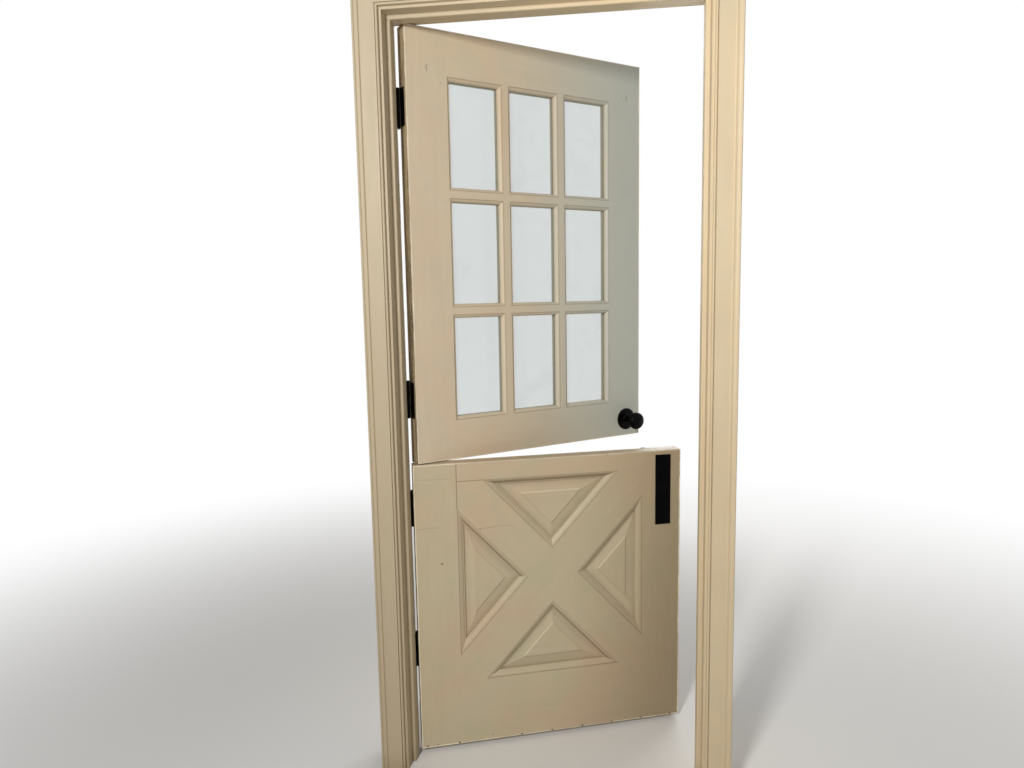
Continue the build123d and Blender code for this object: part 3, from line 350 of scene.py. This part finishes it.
def fieldMarks(corners):
    # painted shade along the field's edges that face down and right, away from the light, and a
    # painted highlight along those that face up and left, towards it
    inner = inwardTriangle(corners, field["inset"])
    middle = sum(inner) / 3
    dark, pale = [], []
    for n in range(3):
        start, end = inner[n], inner[(n + 1) % 3]
        run = end - start
        outward = np.array([run[1], -run[0]]) / np.linalg.norm(run)
        outward *= np.sign(outward @ (start - middle))
        towardLight = float(outward @ np.array(field["lightFrom"]))
        if towardLight > field["paleAbove"]:
            pale.append((start, end, *field["pale"]))
        elif towardLight < field["shadeBelow"]:
            strength = min(field["shadeLevel"] - field["shadeSlope"] * towardLight, field["shadeMost"])
            dark.append((start, end, *field["shadeLine"], strength))
    return {"lines": dark, "pale": pale}


for name, corners in panelCorners.items():
    blemishes[name] = fieldMarks(corners)


def grainAxes(x, z, grain):
    # distances along and across a grain that runs at this angle from level in the leaf's plane
    if grain == 0:
        return x, z
    if grain == 90:
        return z, x
    run, rise = cos(radians(grain)), sin(radians(grain))
    return x * run + z * rise, z * run - x * rise


def markMask(made, x, z, lines, spots=()):
    # the strongest of the marks at each point
    each = [made.stroke(x, z, *line[:4]) * line[4] for line in lines]
    each += [made.spot(x, z, *spot[:3]) * spot[3] for spot in spots]
    mask = each[0]
    for one in each[1:]:
        mask = mask.higher(one)
    return mask


def mouldingShade(made, y, patches, undersideShade):
    # painted shade: darker deep in the mouldings and in the quirk beside them, and on the
    # undersides that face down, as if lit from above
    into = leafHalf - abs(y - leafMiddle)
    wandering = into + (patches - 0.5) * moulding["recessWander"]
    recessed = made.ramp(wandering, *moulding["recessDepth"]) * moulding["recessShade"]
    quirk = made.ramp(into, *moulding["quirkNear"]) * made.ramp(into, *moulding["quirkFar"])
    facing = made.split(made.node("ShaderNodeTexCoord", output="Normal"))[2]
    under = made.ramp(facing, *moulding["underFacing"]) * made.ramp(into, *moulding["underDepth"])
    return recessed.higher(quirk * moulding["quirk"]).higher(under * undersideShade)


def paintFinish(name, wood, grain, marks=None, edge=None, hallPlane=door["hallFace"]):
    # Brushed old paint: cloudy colour, fine strokes along the grain, specks, the marks of use, and
    # painted light and shade
    made = Finish(name)
    local = made.place(wood["angle"])
    x, y, z = made.split(local)
    along, across = grainAxes(x, z, grain)
    strokes = made.grain(across, y, along, **coats["strokes"])
    wide = made.grain(across, y, along, **coats["wide"])
    patches = made.noise(local, **coats["patches"])
    base, warm, cool = wood["tones"]
    colour = made.cover(base, made.noise(local, **coats["clouds"]), layers["warm"], warm)
    colour = made.cover(colour, patches, layers["cool"], cool)
    colour = made.cover(colour, wide, layers["wideGrime"], paint["grimeAndShade"])
    # painted light and shade, faded across the piece
    if wood["fade"]:
        fade = wood["fade"]
        reach = made.ramp(x - z * fade["slope"], fade["start"], fade["end"]) * fade["amount"]
        if wood["angle"]:
            reach = reach * made.ramp(y, *paint["fadeDepth"])
        colour = made.mix(reach, colour, fade["tone"])
    colour = made.cover(colour, strokes, layers["strokeGrime"], paint["grimeAndShade"])
    colour = made.cover(colour, strokes, layers["strokeShine"], paint["highlightTone"])
    grit, rare = made.noise(local, **coats["grit"]), made.noise(local, **coats["rare"])
    specks = made.ramp(grit, *paint["speckGrit"]) * made.ramp(rare, *paint["speckPlaces"])
    colour = made.mix(specks * paint["speckShare"], colour, paint["dirtAndShade"])
    if wood["angle"]:
        # painted shade in the mouldings' depths and quirks and on their undersides
        colour = made.mix(mouldingShade(made, y, patches, wood["undersideShade"]), colour, paint["creviceShade"])
    else:
        # painted shade darkens the frame down towards the floor, and mops splash its foot
        colour = made.cover(colour, z, layers["footShade"], paint["grimeAndShade"])
        splashed = z + (patches - 0.5) * paint["splashWander"]
        colour = made.cover(colour, splashed, layers["footDamp"], paint["grimeAndShade"])
    if edge:
        # the edge beside the hinges never had its full coats and is dirty, and it is painted darker
        # still as painted shade; its line is uneven
        ragged = x - edge - (made.noise(local, **coats["ragged"]) - 0.5) * paint["edgeWander"]
        streaks = made.ramp(wide + (strokes - 0.5) * paint["wideWander"], *paint["edgeStreaks"])
        bare = made.mix(streaks, paint["bareAndShadedEdge"], paint["bareAndShadedStreak"])
        colour = made.cover(colour, ragged, layers["bareAndShadedEdge"], bare)
    relief = paint["relief"]
    height = strokes * relief["strokes"] + wide * relief["wide"] + patches * relief["patches"]
    if marks:
        hallSide = made.ramp(y, *(hallPlane + depth for depth in paint["markDepth"]))
        # painted highlight along the panels' field edges that face the light
        if marks.get("pale"):
            pale = markMask(made, x, z, marks["pale"]) * hallSide
            colour = made.mix(pale, colour, paint["highlightTone"])
        # dark marks: joints, chips and blemishes, and painted shade along the panels' field edges
        mask = markMask(made, x, z, marks["lines"], marks.get("spots", ())) * hallSide
        colour = made.mix(mask, colour, paint["dirtAndShade"])
        height = height - mask * relief["marks"]
    gloss = wide + (patches - 0.5) * paint["wideWander"]
    made.set(
        Base_Color=colour,
        Roughness=made.ramp(gloss, 0.2, 0.8, *paint["roughness"]),
        Normal=made.bump(height, paint["strokeDepth"]),
        Specular_IOR_Level=paint["specular"],
    )
    return made.material


# The three sorts of painted wood. A fade runs over x, with a slope against z: painted cool light on the
# upper leaf, painted shade with some grime on the lower leaf, and painted shade on the frame's hinge
# side.
# The grains are each piece's angle: upright boards 90, level ones 0, braces as they lie.
woods = {
    "upper": {
        "tones": (paint["leafTone"], paint["leafWarm"], paint["leafCool"]),
        "angle": door["upperAngle"],
        "undersideShade": 0.12,
        "fade": {"tone": paint["paintedRoomLight"], "amount": 0.9, "start": 0.20, "end": 0.80, "slope": 0.0},
        "grains": {
            "upper_hinge_stile": 90, "upper_lock_stile": 90, "upper_top_rail": 0,
            "upper_bottom_rail": 0, "upright_muntin_hinge_side": 90,
            "upright_muntin_strike_side": 90, "cross_muntin_lower": 0, "cross_muntin_upper": 0,
            "glazing_beads": 90,
        },
    },
    "lower": {
        "tones": (paint["lowerShadedTone"], paint["lowerShadedWarm"], paint["lowerShadedCool"]),
        "angle": door["lowerAngle"],
        "undersideShade": 0.62,
        "fade": {"tone": paint["grimeAndShade"], "amount": 0.95, "start": 0.34, "end": 0.88, "slope": 0.15},
        "grains": {
            "lower_hinge_stile": 90, "lower_lock_stile": 90, "lower_top_rail": 0,
            "lower_bottom_rail": 0, "long_brace": 47.1, "upper_half_brace": -47.1,
            "lower_half_brace": -47.1, "top_panel": 0, "bottom_panel": 0, "hinge_side_panel": 90,
            "lock_side_panel": 90,
        },
    },
    "frame": {
        "tones": (paint["frameTone"], paint["frameWarm"], paint["frameCool"]),
        "angle": 0.0,
        "fade": {"tone": paint["shadeFade"], "amount": 0.75, "start": 0.6, "end": 0.0, "slope": 0.0},
        "grains": {
            "hinge_jamb": 90, "strike_jamb": 90, "head_jamb": 0, "hinge_stop": 90,
            "strike_stop": 90, "head_stop": 0, "hall_casing_hinge_side": 90,
            "hall_casing_strike_side": 90, "hall_casing_head": 0, "room_casing_hinge_side": 90,
            "room_casing_strike_side": 90, "room_casing_head": 0,
        },
    },
}


def dress(name, material):
    slots = nodes[name].data.materials
    slots.clear()
    slots.append(material)


for wood in woods.values():
    for name, grain in wood["grains"].items():
        edge = door["leafLeft"] if name in ("upper_hinge_stile", "lower_hinge_stile") else None
        hallPlane = door["hallFace"] + (paint["panelDepth"] if name in panelCorners else 0.0)
        dress(name, paintFinish(f"{name} paint", wood, grain, blemishes.get(name), edge, hallPlane))
print("wood painted")

# Old window glass, a little wavy, with smears
glass = {
    "tint": tone(140, 166, 162), "alpha": 0.24, "smudge": 0.03, "roughness": (0.02, 0.09),
    "smear": {"scale": 9.0, "detail": 4.0, "roughness": 0.6, "distortion": 1.2},
    "wave": {"scale": 6.0, "detail": 1.0}, "waveDepth": 0.0012, "refraction": 1.52, "specular": 0.8,
}


def glassFinish():
    made = Finish("old window glass")
    local = made.place(door["upperAngle"])
    smear = made.noise(local, **glass["smear"])
    most = glass["alpha"] + glass["smudge"]
    made.set(
        Base_Color=glass["tint"],
        Roughness=made.ramp(smear, 0.4, 0.75, *glass["roughness"]),
        Alpha=made.ramp(smear, 0.45, 0.8, glass["alpha"], most),
        Normal=made.bump(made.noise(local, **glass["wave"]), glass["waveDepth"]),
        IOR=glass["refraction"],
        Specular_IOR_Level=glass["specular"],
    )
    return made.material


paneFinish = glassFinish()
for row in ("top", "middle", "bottom"):
    dress(f"glass_{row}_row", paneFinish)

# Blackened metals: the black, the tone where it is rubbed and how much of that shows
metal = {
    "black hinge iron": {"black": tone(9, 8, 8), "rub": tone(52, 41, 29), "rubAmount": 0.4,
                         "roughness": 0.48, "grainDepth": 0.0003, "shine": 0.1},
    "black knob metal": {"black": tone(5, 5, 5), "rub": tone(46, 34, 22), "rubAmount": 0.3,
                         "roughness": 0.26, "grainDepth": 0.00006, "shine": 0.06},
    "black plate metal": {"black": tone(4, 4, 5), "rub": tone(52, 41, 29), "rubAmount": 0.12,
                          "roughness": 0.40, "grainDepth": 0.0001, "shine": 0.04},
    "black bolt iron": {"black": tone(14, 13, 12), "rub": tone(52, 41, 29), "rubAmount": 0.4,
                        "roughness": 0.44, "grainDepth": 0.0002, "shine": 0.2},
}
# The skin that all the blackened metals share
casting = {
    "broad": {"scale": 26.0, "detail": 4.0, "roughness": 0.6},
    "fine": {"scale": 420.0, "detail": 3.0, "roughness": 0.6},
    "worn": (0.58, 0.78), "smoother": 0.06, "rougher": 0.1,
}


def blackFinish(name):
    about = metal[name]
    made = Finish(name)
    local = made.place()
    broad, fine = made.noise(local, **casting["broad"]), made.noise(local, **casting["fine"])
    worn = (*casting["worn"], about["rubAmount"])
    smooth = about["roughness"] - casting["smoother"]
    rough = about["roughness"] + casting["rougher"]
    made.set(
        Base_Color=made.cover(about["black"], broad + (fine - 0.5) * 0.5, worn, about["rub"]),
        Roughness=made.ramp(fine, 0.3, 0.7, smooth, rough),
        Normal=made.bump(fine * 0.6 + broad * 0.4, about["grainDepth"]),
        Specular_IOR_Level=about["shine"],
    )
    return made.material


steel = {
    "clean": tone(168, 160, 146), "dull": tone(118, 108, 92), "brushWaves": (900.0, 30.0),
    "stain": {"scale": 60.0, "detail": 4.0, "roughness": 0.65}, "stained": (0.4, 0.7, 1.0),
    "brushDepth": 0.00004, "metallic": (0.95, 0.6), "roughness": (0.3, 0.48),
}


def steelFinish():
    made = Finish("dull latch steel")
    local = made.place()
    brushed = made.grain(*made.split(local), steel["brushWaves"])
    stain = made.noise(local, **steel["stain"])
    made.set(
        Base_Color=made.cover(steel["clean"], stain, steel["stained"], steel["dull"]),
        Metallic=made.ramp(stain, 0.4, 0.8, *steel["metallic"]),
        Roughness=made.ramp(brushed, 0.3, 0.7, *steel["roughness"]),
        Normal=made.bump(brushed, steel["brushDepth"]),
    )
    return made.material


hingeIron, knobMetal, plateMetal, boltIron = (blackFinish(name) for name in metal)
latchSteel = steelFinish()
hingePlates = [f"{half}_hinge_plate_{number}" for half in ("jamb", "leaf") for number in range(1, 5)]
for finish, names in (
    (hingeIron, hingePlates + ["hinge_pins"]),
    (knobMetal, ["hall_knob", "room_knob", "hall_rosette", "room_rosette", "knob_spindle"]),
    (plateMetal, ["cover_plate"]),
    (boltIron, ["bolt_slide", "joining_bolt", "bolt_keeper"]),
    (latchSteel, ["latch_case", "latch_bolt", "strike_plate"]),
):
    for name in names:
        dress(name, finish)
print("glass and metal dressed")


# New pieces
def swing(points, angle):
    # from closed coordinates to where the leaf stands
    turn = np.array(Matrix.Rotation(radians(angle), 3, "Z"))
    line = np.array(door["hingeLine"])
    return (np.asarray(points, float) - line) @ turn.T + line


def meshPiece(name, points, faces, finish, body, slotName, smooth=True):
    mesh = bpy.data.meshes.new(name)
    mesh.from_pydata(points.tolist(), [], faces)
    mesh.update()
    mesh.polygons.foreach_set("use_smooth", [smooth] * len(mesh.polygons))
    mesh.materials.append(finish)
    piece = bpy.data.objects.new(name, mesh)
    bpy.context.scene.collection.objects.link(piece)
    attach(piece, body)
    return piece


def sheetFaces(columns, rows):
    # quads between neighbouring points of a grid that is open on all four sides
    c, r = np.meshgrid(np.arange(columns - 1), np.arange(rows - 1), indexing="ij")
    first = c * rows + r
    return np.stack([first, first + rows, first + rows + 1, first + 1], -1).reshape(-1, 4).tolist()


def ringFaces(rings, spokes, closedAlong=False):
    # quads between neighbouring rings of a grid whose second direction closes on itself
    last = rings if closedAlong else rings - 1
    r, s = np.meshgrid(np.arange(last), np.arange(spokes), indexing="ij")
    nextR, nextS = (r + 1) % rings, (s + 1) % spokes
    corners = [r * spokes + s, r * spokes + nextS, nextR * spokes + nextS, nextR * spokes + s]
    return np.stack(corners, -1).reshape(-1, 4)


# A slotted countersunk screw
screw = {
    "headRadius": 0.004, "shankRadius": 0.0022, "headHeight": 0.002, "length": 0.014,
    "slotWidth": 0.0009, "slotDepth": 0.0008, "sag": 0.00012, "sideColumns": 5, "rows": 9,
    "weld": 0.00001,
}


def screwShape():
    # The head's face is at height 0 and the point is downwards. The head is columns across the
    # slot: x is fixed in a column and y runs over the disc, and each slot wall is a pair of
    # columns at one x. The cone and shank are rings that start from the head's own rim.
    half, sides = screw["slotWidth"] / 2, screw["sideColumns"]
    radius, depth = screw["headRadius"], screw["slotDepth"]
    outer = np.cos(np.linspace(0.0, 1.0, sides) * pi / 2) * (radius - half) + half
    xs = np.concatenate([-outer, [-half, half], outer[::-1]])
    low = np.concatenate([np.zeros(sides), [1.0, 1.0], np.zeros(sides)])
    slope = (radius - screw["shankRadius"]) / screw["headHeight"]
    reach = radius - low * depth * slope
    halfY = np.sqrt(np.maximum(reach ** 2 - xs ** 2, 0.0))
    y = halfY[:, None] * np.linspace(-1.0, 1.0, screw["rows"])[None, :]
    x = np.repeat(xs[:, None], screw["rows"], 1)
    z = -low[:, None] * depth - screw["sag"] * (x ** 2 + y ** 2) / radius ** 2
    head = np.stack([x, y, z], -1).reshape(-1, 3)
    faces = sheetFaces(len(xs), screw["rows"])
    firstRow = np.arange(len(xs)) * screw["rows"]
    above = np.concatenate([firstRow, (firstRow + screw["rows"] - 1)[::-1]])
    angles = np.arctan2(head[above, 1], head[above, 0])
    points = [head]
    for count, height in enumerate((screw["headHeight"], screw["length"])):
        ring = screw["shankRadius"] * np.stack([np.cos(angles), np.sin(angles)], -1)
        points.append(np.column_stack([ring, np.full(len(angles), -height)]))
        below = len(head) + count * len(angles) + np.arange(len(angles))
        faces += np.stack([above, below, np.roll(below, -1), np.roll(above, -1)], -1).tolist()
        above = below
    tip = np.full(len(angles), above[-1] + 1)
    points.append([[0.0, 0.0, -screw["length"]]])
    faces += np.stack([above, tip, np.roll(above, -1)], -1).tolist()
    return np.concatenate(points), faces


screwPoints, screwFaces = screwShape()


def screwSet(node, body, angle, places):
    # each place is the head's point, the way the head looks, and how far the slot is turned
    points, faces = [], []
    for number, (middle, outward, turned) in enumerate(places):
        upward = Vector((0, 0, 1))
        side = upward.cross(Vector(outward))
        lie = np.array([list(side), list(upward), list(outward)])
        spin = np.array([[cos(turned), sin(turned), 0], [-sin(turned), cos(turned), 0], [0, 0, 1]])
        placed = screwPoints @ spin @ lie + np.array(middle)
        points.append(swing(placed, angle) if angle else placed)
        faces += [[number * len(screwPoints) + n for n in face] for face in screwFaces]
    piece = meshPiece(f"{body}_slotted_screws", np.concatenate(points), faces, hingeIron, body,
                      "black_hinge_iron", False)
    weld = piece.modifiers.new("weld", "WELD")
    weld.merge_threshold = screw["weld"]
    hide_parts(node)


hinge = {
    "middles": (1.840, 1.044, 0.726, 0.300), "height": 0.102, "screwInset": 0.014,
    "plateMiddle": 0.0425, "stagger": 0.0064, "jambFace": 0.0095,
    "slotTurn": 0.7, "turnByScrew": 1.9, "turnByHinge": 2.3,
}
latch = {"height": 0.920, "depth": 0.0365, "screwSpread": 0.0225, "strikeFace": 0.8205}
bolt = {
    "x": 0.7185, "face": 0.061, "keeperHeight": 0.8765, "keeperSpread": 0.017,
    "slideMiddle": 0.8005, "slideSpread": 0.017, "slideReach": 0.0095,
}


def hingeScrewPlaces(middles, faceX, outward):
    # three screws to a hinge half, staggered about its middle line
    places = []
    for number, middle in enumerate(middles):
        for index in range(3):
            offset = hinge["stagger"] if index % 2 == 0 else -hinge["stagger"]
            height = middle + (index - 1) * (hinge["height"] / 2 - hinge["screwInset"])
            turned = hinge["slotTurn"] + hinge["turnByScrew"] * index + hinge["turnByHinge"] * number
            places.append(((faceX, hinge["plateMiddle"] - offset, height), outward, turned))
    return places


edgeHeights = [latch["height"] + side * latch["screwSpread"] for side in (-1, 1)]
framePlaces = hingeScrewPlaces(hinge["middles"], hinge["jambFace"], (1, 0, 0))
framePlaces += [((latch["strikeFace"], latch["depth"], z), (-1, 0, 0), 0.4 + z) for z in edgeHeights]
upperPlaces = hingeScrewPlaces(hinge["middles"][:2], door["leafLeft"], (-1, 0, 0))
upperPlaces += [((door["leafRight"], latch["depth"], z), (1, 0, 0), 1.1 + 3 * z) for z in edgeHeights]
lowerPlaces = hingeScrewPlaces(hinge["middles"][2:], door["leafLeft"], (-1, 0, 0))
for side in (-1, 1):
    keeperX, slideX = (bolt["x"] + side * bolt[key] for key in ("keeperSpread", "slideReach"))
    upperPlaces.append(((keeperX, bolt["face"], bolt["keeperHeight"]), (0, 1, 0), side))
    for up in (-1, 1):
        slideZ = bolt["slideMiddle"] + up * bolt["slideSpread"]
        lowerPlaces.append(((slideX, bolt["face"], slideZ), (0, 1, 0), 0.6 * side + up))
screwSet("frame_screws", "frame", 0, framePlaces)
screwSet("upper_leaf_screws", "upper_leaf", door["upperAngle"], upperPlaces)
screwSet("lower_leaf_screws", "lower_leaf", door["lowerAngle"], lowerPlaces)
print("screws set")

# Black tacks along the foot of the lower leaf: places and radii in metres
tack = {
    "x": (0.0295, 0.0595, 0.1235, 0.2225, 0.3125, 0.4075, 0.5025, 0.5965, 0.6915, 0.7885),
    "z": (0.0195, 0.0205, 0.0178, 0.0290, 0.0175, 0.0172, 0.0178, 0.0170, 0.0174, 0.0172),
    "radius": (0.0024, 0.0017, 0.0027, 0.0016, 0.0024, 0.0023, 0.0026, 0.0024, 0.0026, 0.0024),
    "rise": 0.0012, "sink": 0.003, "waist": 0.8, "rings": 6, "spokes": 16, "crown": 0.02,
    "oval": 0.12, "threeSided": 0.07, "turnByTack": 1.7,
}


def tackHeads():
    # a low dome: radius r * sin(t), rise * cos(t) over a quarter turn, then straight into the
    # wood, with an outline that wobbles by a few sines of the angle
    t = np.linspace(0.0, pi / 2, tack["rings"])
    spokes = np.linspace(0.0, 2 * pi, tack["spokes"], endpoint=False)
    quads = ringFaces(tack["rings"] + 1, tack["spokes"])
    across = np.append(np.sin(np.maximum(t, tack["crown"])), tack["waist"])
    height = np.append(tack["rise"] * np.cos(t), -tack["sink"])
    cap = np.arange(tack["spokes"])
    points, faces = [], []
    for n, (x, z, radius) in enumerate(zip(tack["x"], tack["z"], tack["radius"])):
        oval = tack["oval"] * np.sin(2 * spokes + tack["turnByTack"] * n)
        wobble = 1 + oval + tack["threeSided"] * np.sin(3 * spokes + n)
        px = x + radius * across[:, None] * (np.cos(spokes) * wobble)[None, :]
        pz = z + radius * across[:, None] * (np.sin(spokes) * wobble)[None, :]
        py = door["hallFace"] - np.repeat(height[:, None], tack["spokes"], 1)
        base = n * px.size
        points.append(np.stack([px, py, pz], -1).reshape(-1, 3))
        faces += (quads + base).tolist()
        faces += [(cap[::-1] + base).tolist(), (cap + base + tack["rings"] * tack["spokes"]).tolist()]
    return swing(np.concatenate(points), door["lowerAngle"]), faces


meshPiece("foot_tacks", *tackHeads(), hingeIron, "lower_leaf", "black_hinge_iron")

# The paint rolled up along both leaves' arrises. Waves are the rate a metre, the share, and
# how many times the leaf's own phase is added.
roll = {
    "radius": 0.0024, "inset": 0.0019, "sides": 10, "step": 0.012, "wobble": 0.00014,
    "waves": ((61, 1.0, 1), (143, 0.7, 2), (17, 0.5, 0)),
}


def paintRoll(low, high, angle, phase):
    # A round roll carried round the leaf's outline on each face, its radius swelling and
    # thinning a little along the way as brushed paint does
    inset = roll["inset"]
    left, right = door["leafLeft"] + inset, door["leafRight"] - inset
    low, high = low + inset, high - inset
    corners = np.array([(left, low), (right, low), (right, high), (left, high)])
    path = []
    for start, end in zip(corners, np.roll(corners, -1, 0)):
        count = int(abs(end - start).sum() / roll["step"])
        path.append(start + np.linspace(0.0, 1.0, count, endpoint=False)[:, None] * (end - start))
    path = np.concatenate(path)
    tangent = np.roll(path, -1, 0) - np.roll(path, 1, 0)
    tangent /= np.linalg.norm(tangent, axis=1)[:, None]
    reach = np.cumsum(np.linalg.norm(path - np.roll(path, 1, 0), axis=1))
    waves = sum(share * np.sin(reach * rate + turns * phase) for rate, share, turns in roll["waves"])
    swell = (roll["radius"] + roll["wobble"] * waves)[:, None]
    around = np.linspace(0.0, 2 * pi, roll["sides"], endpoint=False)[None, :]
    px = path[:, 0:1] + tangent[:, 1:2] * swell * np.cos(around)
    pz = path[:, 1:2] - tangent[:, 0:1] * swell * np.cos(around)
    quads = ringFaces(len(path), roll["sides"], True)
    points, faces = [], []
    for number, faceY in enumerate((door["hallFace"] + inset, door["roomFace"] - inset)):
        py = faceY + swell * np.sin(around)
        points.append(np.stack([px, py, pz], -1).reshape(-1, 3))
        faces += (quads + number * px.size).tolist()
    return swing(np.concatenate(points), angle), faces


# Chips in the lower leaf's lock-side arris, as blemish lines
chips = [
    ((0.8168, 0.856), (0.8168, 0.847), 0.0034, 0.0016, 0.85),
    ((0.8170, 0.838), (0.8170, 0.829), 0.0036, 0.0018, 0.9),
    ((0.8170, 0.813), (0.8170, 0.806), 0.0030, 0.0016, 0.85),
    ((0.8170, 0.791), (0.8170, 0.782), 0.0028, 0.0018, 0.8),
]
# The rolls are painted in the pale highlight tone, a painted highlight along the leaves' arrises
for leaf, phase, marks in (("upper", 0.3, None), ("lower", 2.1, {"lines": chips})):
    base, warm, cool = woods[leaf]["tones"]
    arris = {"tones": (paint["highlightTone"], base, cool), "angle": door[f"{leaf}Angle"], "undersideShade": 0.12,
             "fade": None}
    shape = paintRoll(door[f"{leaf}Bottom"], door[f"{leaf}Top"], arris["angle"], phase)
    meshPiece(f"{leaf}_leaf_paint_roll", *shape, paintFinish(f"{leaf} arris paint", arris, 90, marks),
              f"{leaf}_leaf", "leaf_paint")
print("tacks and paint rolls made")

# Floor, world, lamps and camera
studio = {
    "floorTone": tone(238, 236, 232), "floorSize": 16.0, "floorSteps": 9, "floorLevel": -0.0004,
    "floorRoughness": 0.75, "floorSpecular": 0.2, "floorMiddle": (0.4, 0.3),
    "fadeMiddle": (0.4, 0.1), "fadeStart": 0.9, "fadeEnd": 3.6,
    "white": (1.0, 1.0, 1.0, 1.0), "worldLight": 0.2,
    "lamps": {
        "key": {"at": (-0.25, -2.6, 2.1), "aim": (2.4, 0.1, 1.0), "size": 0.4, "power": 66.0},
        "back": {"at": (1.5, 3.0, 2.2), "aim": (0.4, 0.0, 1.1), "size": 2.2, "power": 52.0},
    },
}


def makeFloor():
    # a flat sheet that is pale near the door and pure white, as the world behind it, far off
    steps = np.linspace(-studio["floorSize"] / 2, studio["floorSize"] / 2, studio["floorSteps"])
    middleX, middleY = studio["floorMiddle"]
    gx, gy = np.meshgrid(steps + middleX, steps + middleY, indexing="ij")
    points = np.stack([gx, gy, np.full_like(gx, studio["floorLevel"])], -1).reshape(-1, 3)
    mesh = bpy.data.meshes.new("floor")
    mesh.from_pydata(points.tolist(), [], sheetFaces(len(steps), len(steps)))
    made = Finish("pale floor")
    x, y, z = made.split(made.place())
    fromX, fromY = x - studio["fadeMiddle"][0], y - studio["fadeMiddle"][1]
    away = (fromX * fromX + fromY * fromY).root()
    made.set(Base_Color=studio["floorTone"], Roughness=studio["floorRoughness"])
    made.set(Specular_IOR_Level=studio["floorSpecular"])
    white = made.node("ShaderNodeEmission", {}, {"Color": studio["white"], "Strength": 1.0})
    fade = made.ramp(away, studio["fadeStart"], studio["fadeEnd"]) * made.seenDirectly()
    plain = Wire(made, made.shader.outputs[0])
    both = made.node("ShaderNodeMixShader", {}, {0: fade, 1: plain, 2: white})
    made.join(made.tree.nodes["Material Output"].inputs[0], both)
    mesh.materials.append(made.material)
    floor = bpy.data.objects.new("floor", mesh)
    bpy.context.scene.collection.objects.link(floor)


def makeWorld():
    # white where it is seen, and a weaker light where it falls on things
    world = bpy.data.worlds.new("studio")
    bpy.context.scene.world = world
    world.use_nodes = True
    made = Net(world.node_tree)
    background = made.tree.nodes["Background"]
    made.join(background.inputs["Color"], studio["white"])
    level = made.ramp(made.seenDirectly(), 0.0, 1.0, studio["worldLight"], 1.0)
    made.join(background.inputs["Strength"], level)


def makeLamp(name, about):
    lamp = bpy.data.lights.new(name, "AREA")
    lamp.shape = "SQUARE"
    lamp.size = about["size"]
    lamp.energy = about["power"]
    placed = bpy.data.objects.new(name, lamp)
    at, aim = Vector(about["at"]), Vector(about["aim"])
    turn = (aim - at).to_track_quat("-Z", "Y").to_matrix().to_4x4()
    placed.matrix_world = Matrix.Translation(at) @ turn
    bpy.context.scene.collection.objects.link(placed)


# Where the photographer stood, in metres and degrees, with the lens in millimetres
view = {
    "at": (0.5730, -1.9192, 1.3271), "yaw": 7.606, "pitch": -6.806, "roll": 1.036,
    "lens": 25.506, "sensor": 36.0, "nearest": 0.05, "farthest": 60.0,
}


def makeCamera():
    lens = bpy.data.cameras.new("camera")
    lens.sensor_width = view["sensor"]
    lens.lens = view["lens"]
    lens.clip_start, lens.clip_end = view["nearest"], view["farthest"]
    camera = bpy.data.objects.new("camera", lens)
    turn = (
        Matrix.Rotation(radians(view["yaw"]), 4, "Z")
        @ Matrix.Rotation(radians(view["pitch"]), 4, "X")
        @ Matrix.Rotation(radians(view["roll"]), 4, "Y")
        @ Matrix.Rotation(radians(90), 4, "X")
    )
    camera.matrix_world = Matrix.Translation(Vector(view["at"])) @ turn
    bpy.context.scene.collection.objects.link(camera)
    bpy.context.scene.camera = camera


makeFloor()
makeWorld()
for lampName, lampAbout in studio["lamps"].items():
    makeLamp(lampName, lampAbout)
makeCamera()
bpy.context.scene.view_settings.view_transform = "Standard"
print("studio set")
